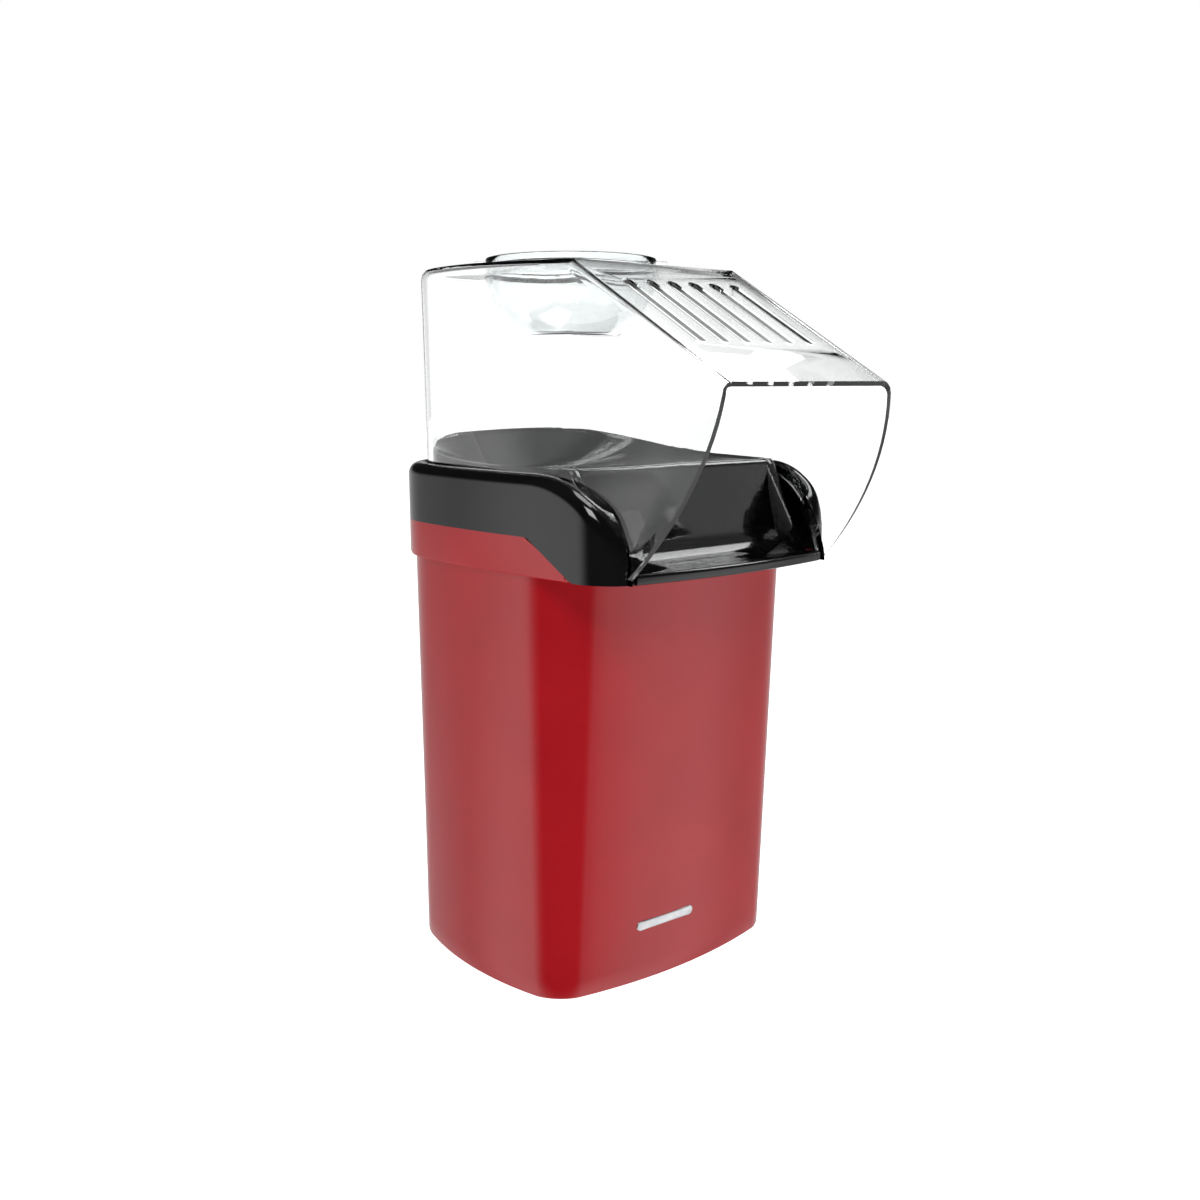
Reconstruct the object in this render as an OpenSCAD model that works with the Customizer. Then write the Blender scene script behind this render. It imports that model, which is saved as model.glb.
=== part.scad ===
// Hot-air popcorn maker: a tapered red housing on four rubber feet, a black
// top with a funnel and a pouring slide, a clear lift-off hood with a measuring
// cup in its roof, and inside it the popping chamber, heater, fan and motor.
// Millimetres, +Z up. The origin lies where the feet rest, under the middle of
// the body. The slide and the hood's mouth face -Y.

/* [Body] */
// Height of the rubber feet below the skirt of the housing
foot_h = 2; // [1:0.5:4]
// Height of the housing, from its skirt up to the collar
body_h = 173; // [150:1:210]
// Half width of the housing at its skirt
base_half_w = 69.5; // [60:0.5:85]
// Half width of the housing under the collar
shoulder_half_w = 71.2; // [62:0.2:87]
// Reach of the housing to the front at its skirt
base_front = 61.5; // [56:0.5:72]
// Reach of the housing to the front under the collar
shoulder_front = 67; // [60:0.5:78]
// Reach of the housing to the rear
body_rear = 60; // [58:0.5:72]
// Wall of the housing
housing_wall = 2.5; // [1.6:0.1:3.5]
// Height of the collar that the black top sits on
collar_h = 15; // [10:0.5:20]
// Step from the housing out to the collar
collar_step = 1.8; // [1:0.1:3]

/* [Black top] */
// Height of the rim above the lower edge of the collar
rim_rise = 38.5; // [34:0.5:46]
// Reach of the lip to the front
lip_front = 93.5; // [86:0.5:104]
// Height of the lip's front face
lip_h = 5.5; // [4:0.5:8]
// Wall of the black top
top_wall = 2.5; // [1.8:0.1:3.5]
// Width of the rounded rim around the hood
rim_w = 8; // [6:0.5:10]
// Depth of the seat of the hood below the rim
seat_depth = 4; // [3:0.5:6]
// Half width of the slide
slide_half_w = 49; // [40:1:52]
// Reach of the slide's upper edge to the front
slide_y = 59; // [56:0.5:62]
// Height of the funnel's rear crest above the rim
crest_rise = 12; // [6:0.5:18]

/* [Hood] */
// Height of the hood's roof above the feet's resting plane
roof_z = 292; // [270:1:330]
// Wall of the hood
hood_wall = 2; // [1.5:0.1:2.5]
// Clearance of the hood in its seat
hood_gap = 0.3; // [0.2:0.05:0.5]
// Reach of the hood's mouth to the front
mouth_front = 125; // [112:1:135]
// Height of the upper edge of the hood's mouth
mouth_z = 247; // [235:1:255]
// Half width of the sloping panel
slope_half_w = 39.5; // [34:0.5:42]
// Length of the flat roof to the front
roof_front = 43.3; // [38:0.5:48]
// Number of vent slots in the sloping panel
slots = 6; // [3:1:6]
// Width of a vent slot
slot_w = 5.2; // [4.2:0.1:6]
// Distance from one vent slot to the next
slot_pitch = 11.3; // [9:0.1:12]
// Length of a vent slot
slot_len = 50; // [30:1:56]

/* [Measuring cup] */
// Radius of the cup's bowl at the roof
cup_r = 36.5; // [30:0.5:38]
// Radius of the cup's flat bottom
cup_bottom_r = 21; // [14:0.5:24]
// Depth of the cup's bowl below the roof
cup_depth = 26.5; // [16:0.5:30]
// Height of the cup's rim above the roof
cup_rim_h = 6; // [5:0.5:9]
// Wall of the cup
cup_wall = 1.6; // [1.2:0.1:2]
// Turn of the cup's grip lugs from the X axis
cup_turn = -39; // [-90:1:90]

/* [Popping chamber and duct] */
// Distance of the chamber's axis behind the origin
axis_y = 12; // [6:0.5:13]
// Inner radius of the popping chamber
chamber_r = 34.5; // [28:0.5:36]
// Wall of the popping chamber
chamber_wall = 1.2; // [0.8:0.1:2]
// Depth of the popping chamber
chamber_depth = 61; // [45:1:66]
// Number of angled air vents round the chamber
chamber_vents = 20; // [12:1:24]
// Air gap between the chamber and the duct
air_gap = 4.4; // [3.5:0.1:6]
// Wall of the air duct
duct_wall = 1.5; // [1:0.1:2]
// Clearance between the mica sleeve and the duct
sleeve_gap = 0.2; // [0.1:0.05:0.4]

/* [Heater] */
// Height of the mica heater frame
heater_h = 30; // [20:1:34]
// Radius of the heater's windings
heater_r = 30; // [22:0.5:32]
// Radius of the heater's wound wire
heater_wire_r = 1.3; // [0.8:0.1:1.5]
// Number of windings
heater_turns = 4; // [2:1:4]

/* [Fan and motor] */
// Radius of the fan
fan_r = 37; // [30:0.5:37.5]
// Height of the fan's blades
blade_h = 12; // [8:0.5:14]
// Number of fan blades
blades = 12; // [8:1:16]
// Radius of the motor can
motor_r = 16; // [14:0.5:18]
// Length of the motor can
motor_h = 36; // [32:1:38]
// Radius of the motor shaft
shaft_r = 1.5; // [1:0.1:2]
// Running clearance between the shaft and its bushes
shaft_gap = 0.05; // [0.02:0.01:0.09]

/* [Switch and cord inlet] */
// Height of the rocker switch above the resting plane
switch_z = 62; // [50:1:72]
// Width of the switch opening
switch_w = 20; // [16:0.5:24]
// Height of the switch opening
switch_h = 15; // [13:0.5:18]
// Swing of the rocker from off to on
rocker_swing = 18; // [10:1:20]
// Height of the cord inlet above the resting plane
inlet_z = 24; // [20:1:30]
// Radius of the hole for the mains cord
inlet_bore_r = 3.2; // [2.5:0.1:4]

/* [Fasteners] */
// Radius of a screw's thread
screw_r = 1.5; // [1.2:0.1:2]
// Clearance of a screw in its hole
screw_gap = 0.1; // [0.05:0.05:0.3]

/* [Hidden] */
$fn = 64;

eps = 0.01;
far = 300;

red = "#a5121c";
black = "#1b1b1d";
clear = [0.92, 0.95, 0.97, 0.3];

// Heights of the shell
skirt_z = foot_h;
collar_z = skirt_z + body_h;
joint_z = collar_z + collar_h;
rim_z = collar_z + rim_rise;
seat_z = rim_z - seat_depth;
deck_z = seat_z - top_wall;

// The body's plan bows outwards: sides and front swell towards their middles
base_r_front = 12;
base_r_rear = 25;
shoulder_r_front = 20;
plan_r_front = 12;
plan_r_rear = 40;
base_bow = 0.38;
base_end_bow = 0.13;
top_bow = 0.14;
top_end_bow = 0.10;
hood_bow = 0.17;
dish_bow = 0.20;
wide_y = 15;
top_half_w = shoulder_half_w + collar_step;
top_rear = body_rear + collar_step;

// The black top's side view: the rim runs level and then falls in an arc
fall_y = 48.5;
fall_len = lip_front - fall_y - 4;
ramp_start_y = 48;
ramp_end_y = 70;

// Hood
hood_inset = rim_w + hood_gap;
hood_half_w = top_half_w - hood_inset;
hood_rear = top_rear - hood_inset;
hood_r_rear = plan_r_rear - hood_inset;
hood_foot_z = seat_z + hood_gap;
seat_low_z = collar_z + top_wall;
hood_low_z = seat_low_z + hood_gap;
mouth_low_half_w = 53.5;
mouth_low_y = lip_front - 4.5;
mouth_bow = 9;
roof_half_w = hood_half_w - 3.5;
roof_bow = 0.95;
roof_fillet = 4.5;
dish_inset = hood_inset + hood_wall + hood_gap;
slope_len = norm([mouth_front - roof_front, roof_z - mouth_z]);
slope_angle = atan2(roof_z - mouth_z, mouth_front - roof_front);
slot_start = 15;

// Chamber, duct, heater and fan stand over each other on one axis
opening_r = chamber_r;
throat_h = 9;
throat_z = deck_z - throat_h;
gasket_h = 1;
flange_t = 1.2;
chamber_top_z = throat_z - gasket_h;
chamber_floor_z = chamber_top_z - chamber_depth;
duct_r = chamber_r + chamber_wall + air_gap;
duct_out_r = duct_r + duct_wall;
flange_r = duct_out_r + 1.5;
duct_top_z = chamber_top_z - flange_t;
sleeve_t = 0.4;
heater_top_z = chamber_floor_z - 9;
heater_z = heater_top_z - heater_h;
duct_low_z = heater_z - 5;
fan_clear = 2;
blade_r = min(fan_r, duct_r - fan_clear);
fan_disc_t = 1.5;
fan_top_z = duct_low_z - fan_clear;
fan_z = fan_top_z - fan_disc_t - blade_h;
fan_floor_t = 2.5;
fan_floor_z = fan_z - fan_clear - fan_floor_t;
motor_top_z = fan_floor_z;
motor_z = motor_top_z - motor_h;
cap_h = 4;
cap_z = motor_z - cap_h;
shaft_low_z = cap_z - 1;
shaft_top_z = fan_top_z + 5;
hub_r = 5;
blade_t = 1.2;
blade_lean = 24;
bush_r = 3.5;
bush_h = 4;
ear_r = duct_out_r + 5;
ear_angles = [195, 270, 345];
ear_pad_r = 4.5;
ear_t = 1.6;

// Base
plate_z = skirt_z + 1;
plate_t = 2.5;
plate_gap = 0.3;
foot_x = 48;
foot_y = 40;
foot_r = 6;
boss_x = 36;
boss_y = 47;
boss_r = 4.5;
boss_h = 20;
base_screw_len = 14;
head_r = 3;
head_h = 2;

// Rear wall pieces
bezel_t = 2;
bezel_rim = 2.5;
switch_depth = 18;
switch_wall = 1.5;
rocker_w = switch_w - 2 * switch_wall - 1;
rocker_h = switch_h - 2 * switch_wall - 1.6;
rocker_pivot_in = 2.5;
rocker_pin_r = 1.2;
rocker_pin_gap = 0.1;
rocker_pin_in = 0.8;
inlet_flange_r = 7.5;
inlet_body_r = 5.5;
inlet_len = 12;
inlet_gap = 0.1;

board_z = skirt_z + 9;
board_t = 1.6;
board_y = -34;
block_x = -34;
block_y = -36;
lead_gap = 0.1;

function arc(cx, cy, r, from, to, n) =
    [for (i = [0:n]) let (a = from + (to - from) * i / n) [cx + r * cos(a), cy + r * sin(a)]];
function between(p, q, n) = [for (i = [1:n - 1]) p + (q - p) * i / n];

// Plan of the body at one height: a rounded rectangle whose sides bow in away
// from wide, and whose ends bow in away from the middle
function plan(w, front, rear, rf, rr, bow, end_bow, wide) =
    let (
        right = arc(w - rr, rear - rr, rr, 0, 90, 9),
        left = arc(rr - w, rear - rr, rr, 90, 180, 9),
        low_left = arc(rf - w, rf - front, rf, 180, 270, 7),
        low_right = arc(w - rf, rf - front, rf, 270, 360, 7),
        loop = concat(
            right, between(right[9], left[0], 6), left,
            between(left[9], low_left[0], 8), low_left,
            between(low_left[7], low_right[0], 8), low_right,
            between(low_right[7], right[0], 8))
    )
    [for (p = loop) [p.x * (1 - bow * pow((p.y - wide) / 100, 2)), p.y * (1 - end_bow * pow(p.x / w, 2))]];

function top_plan(inset) = plan(
    top_half_w - inset, lip_front - inset, top_rear - inset,
    max(plan_r_front - inset, 3), plan_r_rear - inset, top_bow, top_end_bow, wide_y);

// Plan of the funnel and cheeks, which stand inside the hood's walls
function dish_plan(inset) = plan(
    top_half_w - dish_inset - inset, lip_front - dish_inset - inset, top_rear - dish_inset - inset,
    3, plan_r_rear - dish_inset - inset, dish_bow, top_end_bow, wide_y);

// Plan of the groove for the hood, which runs out through the front
function seat_plan() = plan(
    top_half_w - rim_w, lip_front + 20, top_rear - rim_w, 3, plan_r_rear - rim_w, top_bow, 0, wide_y);

function base_plan(inset) = plan(
    base_half_w - inset, base_front - inset, body_rear - inset,
    base_r_front - inset, base_r_rear - inset, base_bow, base_end_bow, 0);

function shoulder_plan(inset) = plan(
    shoulder_half_w - inset, shoulder_front - inset, body_rear - inset,
    shoulder_r_front - inset, plan_r_rear - inset, top_bow, top_end_bow, wide_y);

// Height of the rim, lowered by an inset, as one side outline of [y, z] points
function fall_arc(inset) =
    [for (i = [0:12]) let (a = 90 * i / 12)
        [-fall_y - (fall_len - inset) * sin(a), collar_z + (rim_rise - inset) * cos(a)]];

// Front of the housing's skirt at x
function skirt_front(x) = base_front * (1 - base_end_bow * pow(x / base_half_w, 2));

// A side outline of [y, z] points, drawn across the width from x0 to x1
module across(points, x0 = -far / 2, x1 = far / 2) {
    translate([x0, 0, 0])
        rotate([90, 0, 90])
            linear_extrude(x1 - x0) polygon(points);
}

module upright(points, z0, z1) {
    translate([0, 0, z0]) linear_extrude(z1 - z0) polygon(points);
}

module tube(r_out, r_in, z0, z1) {
    translate([0, 0, z0]) difference() {
        cylinder(r = r_out, h = z1 - z0);
        translate([0, 0, -1]) cylinder(r = r_in, h = z1 - z0 + 2);
    }
}

// A screw standing on its head, with its thread pointing up
module screw(len) {
    cylinder(r = head_r, h = head_h);
    cylinder(r = screw_r, h = head_h + len);
}

module on_axis() {
    translate([0, axis_y, 0]) children();
}

module at_ears() {
    for (a = ear_angles)
        on_axis() rotate([0, 0, a]) translate([ear_r, 0, 0]) children();
}

module at_corners(x, y) {
    for (sx = [-1, 1])
        for (sy = [-1, 1])
            translate([sx * x, sy * y, 0]) children();
}

// A lead is a tube swept along a smooth curve through a few points
lead_sides = 8;
lead_steps = 4;
function unit(v) = v / norm(v);
function curve_at(p, i, t) =
    let (n = len(p) - 1, a = p[max(i - 1, 0)], b = p[i], c = p[i + 1], d = p[min(i + 2, n)])
    0.5 * (2 * b + (c - a) * t + (2 * a - 5 * b + 4 * c - d) * t * t + (3 * b - a - 3 * c + d) * t * t * t);
function curve(p) = concat(
    [for (i = [0:len(p) - 2]) for (k = [0:lead_steps - 1]) curve_at(p, i, k / lead_steps)], [p[len(p) - 1]]);
function heading(c, i) = unit(c[min(i + 1, len(c) - 1)] - c[max(i - 1, 0)]);

module lead(points, r) {
    c = curve(points);
    n = len(c);
    rings = [for (i = [0:n - 1]) let (
        h = heading(c, i),
        u = unit(cross(h, [0.2, 0.3, 0.93])),
        v = cross(h, u)
    ) for (k = [0:lead_sides - 1]) let (a = 360 * k / lead_sides) c[i] + r * (cos(a) * u + sin(a) * v)];
    walls = [for (i = [0:n - 2]) for (k = [0:lead_sides - 1]) let (
        j = (k + 1) % lead_sides,
        low = i * lead_sides,
        high = low + lead_sides
    ) each [[low + k, high + k, high + j], [low + k, high + j, low + j]]];
    ends = [[for (k = [0:lead_sides - 1]) k], [for (k = [lead_sides - 1:-1:0]) (n - 1) * lead_sides + k]];
    polyhedron(rings, concat(walls, ends));
}

// ---- Shell ----

module housing_form(inset, low, high) {
    hull() {
        upright(base_plan(inset), low, low + eps);
        upright(shoulder_plan(inset), high - eps, high);
    }
}

// The collar's side outline: level, then down a ramp to the shoulder
function collar_outline() = [
    [far / 2, collar_z], [far / 2, joint_z], [-ramp_start_y, joint_z], [-ramp_end_y, collar_z]
];

module housing() {
    color(red) difference() {
        union() {
            difference() {
                housing_form(0, skirt_z, collar_z);
                housing_form(housing_wall, skirt_z - eps, collar_z + eps);
            }
            intersection() {
                difference() {
                    upright(top_plan(0), collar_z, joint_z);
                    upright(top_plan(housing_wall), collar_z + housing_wall, joint_z + 1);
                    upright(top_plan(2 * housing_wall), collar_z - 1, joint_z + 1);
                }
                across(collar_outline());
            }
            for (sx = [-1, 1])
                for (sy = [-1, 1])
                    housing_boss(sx, sy);
        }
        at_corners(boss_x, boss_y)
            translate([0, 0, plate_z + plate_t - 1])
                cylinder(r = screw_r + screw_gap / 2, h = boss_h);
        translate([-switch_w / 2, 0, switch_z - switch_h / 2])
            cube([switch_w, far, switch_h]);
        translate([0, 0, inlet_z])
            rotate([-90, 0, 0]) cylinder(r = inlet_body_r + inlet_gap, h = far);
    }
}

// A boss for a base screw, tied to the wall by a rib
module housing_boss(sx, sy) {
    low = plate_z + plate_t;
    wall_y = (sy < 0 ? skirt_front(boss_x) : body_rear * (1 - base_end_bow * pow(boss_x / base_half_w, 2)))
        - housing_wall / 2;
    translate([sx * boss_x, sy * boss_y, low]) cylinder(r = boss_r, h = boss_h);
    translate([sx * boss_x - 1, sy < 0 ? -wall_y : boss_y, low])
        cube([2, wall_y - boss_y, boss_h]);
}

module base_plate() {
    color(black) difference() {
        upright(base_plan(housing_wall + plate_gap), plate_z, plate_z + plate_t);
        at_corners(boss_x, boss_y) {
            translate([0, 0, plate_z - 1]) cylinder(r = screw_r + screw_gap, h = plate_t + 2);
            translate([0, 0, plate_z - 1]) cylinder(r = head_r + screw_gap, h = 2.2);
        }
        for (i = [-5:5])
            translate([6 * i - 1.5, axis_y - 24, plate_z - 1]) cube([3, 48, plate_t + 2]);
    }
}

module rubber_feet() {
    color("#2a2a2a")
        at_corners(foot_x, foot_y) cylinder(r1 = foot_r - 0.6, r2 = foot_r, h = plate_z);
}

module base_screws() {
    color("#b8babd")
        at_corners(boss_x, boss_y)
            translate([0, 0, plate_z + 1.2 - head_h]) screw(base_screw_len);
}

// A plain oval mark on the front
module badge() {
    badge_z = skirt_z + 25;
    badge_w = 13;
    badge_h = 4;
    color("#c9cacc") intersection() {
        difference() {
            housing_form(-0.4, skirt_z, collar_z);
            housing_form(0, skirt_z - eps, collar_z + eps);
        }
        translate([-9, 0, badge_z]) rotate([90, 0, 0]) linear_extrude(far) union() {
            translate([-badge_w, -badge_h / 2]) square([2 * badge_w, badge_h]);
            translate([-badge_w, 0]) circle(r = badge_h / 2);
            translate([badge_w, 0]) circle(r = badge_h / 2);
        }
    }
}

// ---- Black top ----

// Side outline of the black top, its rim lowered by an inset
function top_outline(inset) = concat(
    [[far / 2, joint_z], [far / 2, rim_z - inset]],
    fall_arc(inset),
    [[-fall_y - fall_len + inset, collar_z], [-ramp_end_y, collar_z], [-ramp_start_y, joint_z]]);

// Side outline of the funnel and cheeks between the hood's walls: the crest
// runs nearly level from the slide and rises towards the rear
crest_low = 1.2;
crest_front_y = -slide_y + 2;
crest_rear_y = 52;
function dish_outline() = concat(
    [[far / 2, joint_z], [far / 2, rim_z + crest_rise]],
    [for (i = [0:12]) let (t = 1 - i / 12)
        [crest_front_y + (crest_rear_y - crest_front_y) * t,
         rim_z + crest_low + (crest_rise - crest_low) * pow(t, 4)]],
    [[-lip_front + 11, collar_z], [-ramp_end_y, collar_z], [-ramp_start_y, joint_z]]);

// The slide: nearly upright, then swept forward on to the lip
slide_foot_y = slide_y + 5;
slide_bend = 12;
slide_floor_z = collar_z + 3;
function slide_curve(inset) = concat(
    [[-slide_y + inset, rim_z + crest_low + 1]],
    [for (i = [0:10]) let (a = 90 * i / 10) [
        -slide_foot_y - slide_bend + (slide_bend + inset) * cos(a),
        slide_floor_z + slide_bend - (slide_bend + inset) * sin(a)]],
    [[-lip_front - 20, slide_floor_z - inset + lip_h - 3]]);

module chute() {
    color(black) difference() {
        union() {
            intersection() {
                upright(top_plan(0), collar_z, rim_z + 20);
                across(top_outline(0));
            }
            intersection() {
                upright(dish_plan(0), collar_z, rim_z + 20);
                across(dish_outline());
            }
            intersection() {
                upright(top_plan(0), collar_z, collar_z + lip_h);
                translate([-far / 2, -far, 0]) cube([far, far - ramp_end_y, far]);
            }
        }
        hood_seat();
        funnel();
        across(concat(slide_curve(0), [[-far, far + 50], [-slide_y, far + 50]]), -slide_half_w, slide_half_w);
        chute_cavity();
        on_axis() translate([0, 0, joint_z - 20]) cylinder(r = opening_r, h = far);
    }
    color(black) chute_throat();
}

// The groove that the hood's wall stands in
module hood_seat() {
    difference() {
        intersection() {
            upright(seat_plan(), seat_low_z, far);
            across(concat([[far / 2, seat_z], [far / 2, far], [-far, far], [-far, seat_low_z]],
                [for (i = [12:-1:0]) let (p = fall_arc(seat_depth)[i]) [p.x, max(p.y, seat_low_z - i / 100)]]));
        }
        upright(dish_plan(0), collar_z, far);
    }
}

module funnel() {
    hull() {
        on_axis() translate([0, 0, seat_z]) cylinder(r = opening_r, h = eps, $fn = 64);
        intersection() {
            upright(dish_plan(2), rim_z - 0.5, rim_z - 0.5 + eps);
            translate([-far / 2, -slide_y + 4, 0]) cube([far, far, far]);
        }
    }
    intersection() {
        upright(dish_plan(2), rim_z - 0.5, far);
        translate([-far / 2, -slide_y + 4, 0]) cube([far, far, far]);
    }
}

// Hollow under the deck, the slide and the cheeks
module chute_cavity() {
    intersection() {
        upright(top_plan(2 * top_wall), 0, far);
        difference() {
            across(concat([[far / 2, 0], [far / 2, deck_z]],
                [for (p = fall_arc(seat_depth + top_wall)) [min(p.x + top_wall, 0), p.y]],
                [[-ramp_end_y, collar_z + top_wall], [-shoulder_front + 5, collar_z + top_wall],
                 [-shoulder_front + 5, 0]]));
            across(concat(slide_curve(top_wall), [[-far, far + 50], [-slide_y + top_wall, far + 50]]),
                -slide_half_w - top_wall, slide_half_w + top_wall);
            cheek_walls();
        }
    }
}

// Plastic left standing beside the slide, under the cheeks' sloping ridges
module cheek_walls() {
    across([[-slide_y + 4, far], [-slide_y + 4, deck_z - 2], [-lip_front + 18, collar_z], [-far, collar_z], [-far, far]]);
}

module chute_throat() {
    on_axis() tube(opening_r + top_wall, opening_r, throat_z, deck_z + 1);
    difference() {
        at_ears() translate([0, 0, throat_z - gasket_h]) cylinder(r = ear_pad_r, h = throat_h + gasket_h + 1);
        at_ears() translate([0, 0, throat_z - gasket_h - 1])
            cylinder(r = screw_r + screw_gap / 2, h = throat_h);
        on_axis() translate([0, 0, throat_z - 5]) cylinder(r = opening_r + top_wall - 0.5, h = 40);
        on_axis() translate([0, 0, throat_z - 5]) cylinder(r = flange_r + 0.3, h = 5);
    }
}

module chute_screws() {
    color("#b8babd")
        at_ears() translate([0, 0, duct_top_z - ear_t - head_h]) screw(8);
}

// ---- Hood ----

// The upper edge of the mouth falls back in a bow to the lip
function mouth_y(t) = mouth_low_y + (mouth_front - mouth_low_y) * t + mouth_bow * 4 * t * (1 - t) * 0.8;
function mouth_half_w(t) = mouth_low_half_w + (slope_half_w + 4.5 - mouth_low_half_w) * t;
function mouth_level(t) = hood_low_z + (mouth_z - 4.5 - hood_low_z) * t;

module hood_form(inset, reach) {
    n = 8;
    dz = inset / cos(slope_angle);
    hull() {
        upright(plan(hood_half_w - inset, slide_y, hood_rear - inset, 6, hood_r_rear - inset, hood_bow,
            top_end_bow, wide_y), hood_foot_z - 2 - 2 * reach, hood_foot_z - 1 - 2 * reach);
        for (s = [[roof_fillet, 0], [1.3, 1.3], [0, roof_fillet]])
            upright(plan(roof_half_w - inset - s[0] + roof_fillet, roof_front, hood_rear - inset - s[0], 4,
                hood_r_rear - inset - s[0], roof_bow, 0, wide_y),
                roof_z - inset - s[1] - eps, roof_z - inset - s[1]);
        for (i = [0:n]) {
            t = i / n - (i == 0 ? reach / 40 : 0);
            w = mouth_half_w(t) - inset - reach * 0.2;
            translate([-w, -mouth_y(t) - reach, mouth_level(t)]) cube([2 * w, eps, eps]);
        }
        translate([-slope_half_w + inset, -mouth_front - reach, mouth_z - dz - reach * tan(slope_angle)])
            cube([2 * (slope_half_w - inset), eps, eps]);
        translate([-slope_half_w + inset, -roof_front, roof_z - dz])
            cube([2 * (slope_half_w - inset), eps, eps]);
    }
}

// Everything below the hood's foot, which follows the seat in the black top
module below_foot() {
    across(concat([[far / 2, -far], [far / 2, hood_foot_z]],
        [for (p = fall_arc(seat_depth - hood_gap)) [p.x, max(p.y, hood_low_z)]],
        [[-far, hood_low_z], [-far, -far]]));
}

module vent_slot() {
    translate([-slot_w / 2, 0, -10]) cube([slot_w, slot_len - slot_w, 20]);
    for (y = [0, slot_len - slot_w])
        translate([0, y, -10]) cylinder(r = slot_w / 2, h = 20, $fn = 32);
}

module hood() {
    color(clear) difference() {
        hood_form(0, 0);
        hood_form(hood_wall, 4);
        below_foot();
        on_axis() translate([0, 0, roof_z - 20]) cylinder(r = cup_r + hood_gap, h = 40);
        for (i = [0:slots - 1])
            translate([(i - (slots - 1) / 2) * slot_pitch, -roof_front, roof_z])
                rotate([slope_angle, 0, 0])
                    translate([0, -slot_start - slot_len + slot_w / 2, 0]) vent_slot();
    }
}

// ---- Measuring cup ----

// The bowl is part of a sphere-like curve that ends sharply at the flat bottom
bowl_from = asin(cup_bottom_r / cup_r);
function bowl(inset) = [for (i = [0:10]) let (a = bowl_from + (90 - bowl_from) * i / 10)
    [(cup_r - inset) * sin(a), roof_z - (cup_depth - inset) * cos(a) / cos(bowl_from)]];

module measuring_cup() {
    rest_z = roof_z + 0.1;
    top_z = roof_z + cup_rim_h;
    color(clear) on_axis() {
        rotate_extrude() polygon(concat(
            [[0, roof_z - cup_depth]], bowl(0),
            [[cup_r, rest_z], [cup_r + 4, rest_z], [cup_r + 4, rest_z + cup_wall],
             [cup_r, rest_z + cup_wall], [cup_r, top_z], [cup_r - cup_wall, top_z]],
            [for (i = [10:-1:0]) bowl(cup_wall)[i]],
            [[0, roof_z - cup_depth + cup_wall]]));
        for (a = [0, 180])
            rotate([0, 0, cup_turn + a])
                translate([cup_r - 0.5, -3, rest_z + 0.5]) cube([5.5, 6, cup_rim_h - 1.5]);
    }
}

// ---- Popping chamber, duct and heater ----

module popping_chamber() {
    color("#c4c6c8") on_axis() difference() {
        union() {
            tube(chamber_r + chamber_wall, chamber_r, chamber_floor_z, chamber_top_z);
            tube(flange_r, chamber_r, chamber_top_z - flange_t, chamber_top_z);
            translate([0, 0, chamber_floor_z]) cylinder(r = chamber_r + chamber_wall, h = chamber_wall);
        }
        for (i = [0:chamber_vents - 1])
            rotate([0, 0, 360 * i / chamber_vents])
                translate([chamber_r, 0, chamber_floor_z + 11])
                    rotate([50, 0, 0]) cube([6, 1.6, 13], center = true);
    }
}

module chamber_gasket() {
    color("#d8d3c4") on_axis() tube(flange_r, opening_r + 0.5, chamber_top_z, throat_z);
}

module air_duct() {
    color("#8f9396") difference() {
        union() {
            on_axis() translate([0, 0, duct_low_z]) cylinder(r = duct_out_r, h = duct_top_z - duct_low_z);
            for (z = [duct_low_z, duct_top_z - flange_t])
                on_axis() translate([0, 0, z]) cylinder(r = flange_r, h = flange_t);
            ears(duct_low_z, duct_low_z + ear_t);
            ears(duct_top_z - ear_t, duct_top_z);
        }
        on_axis() cylinder(r = duct_r, h = far);
        at_ears() cylinder(r = screw_r + screw_gap, h = far);
    }
}

// Three screw ears between two heights
module ears(z0, z1) {
    at_ears() translate([0, 0, z0]) {
        cylinder(r = ear_pad_r, h = z1 - z0);
        translate([-5.8, -ear_pad_r, 0]) cube([5.8, 2 * ear_pad_r, z1 - z0]);
    }
}

module mica_sleeve() {
    color("#b9a888") on_axis()
        tube(duct_r - sleeve_gap, duct_r - sleeve_gap - sleeve_t, heater_z - 2, heater_top_z + 2);
}

module heater_winding(z, r) {
    translate([0, 0, z]) rotate_extrude() translate([heater_r, 0]) circle(r = r, $fn = 24);
}

function winding_z(i) = heater_z + heater_h * (i + 0.5) / heater_turns;

module heater_frame() {
    half = duct_r - sleeve_gap - sleeve_t - 0.3;
    color("#cbbd9c") on_axis() difference() {
        for (a = [0, 90])
            rotate([0, 0, a]) translate([-half, -0.6, heater_z]) cube([2 * half, 1.2, heater_h]);
        for (i = [0:heater_turns - 1])
            heater_winding(winding_z(i), heater_wire_r + 0.1);
    }
}

module heater_coil() {
    color("#8a8580") on_axis()
        for (i = [0:heater_turns - 1])
            heater_winding(winding_z(i), heater_wire_r);
}

module thermostat() {
    color("#d9d6cf") on_axis() {
        translate([0, 0, chamber_floor_z - 5]) cylinder(r = 7.5, h = 5);
        translate([0, 0, chamber_floor_z - 1]) cylinder(r = 9.5, h = 1);
        for (x = [-4, 2.5])
            translate([x, -2, chamber_floor_z - 8.5]) cube([1.5, 4, 4]);
    }
}

module thermal_fuse() {
    color("#e4e0d4") on_axis()
        translate([18, 0, chamber_floor_z - 2.2]) rotate([90, 0, 0]) {
            translate([0, 0, -6]) cylinder(r = 2.2, h = 12);
            translate([0, 0, -11]) cylinder(r = 0.5, h = 22);
        }
}

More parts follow.
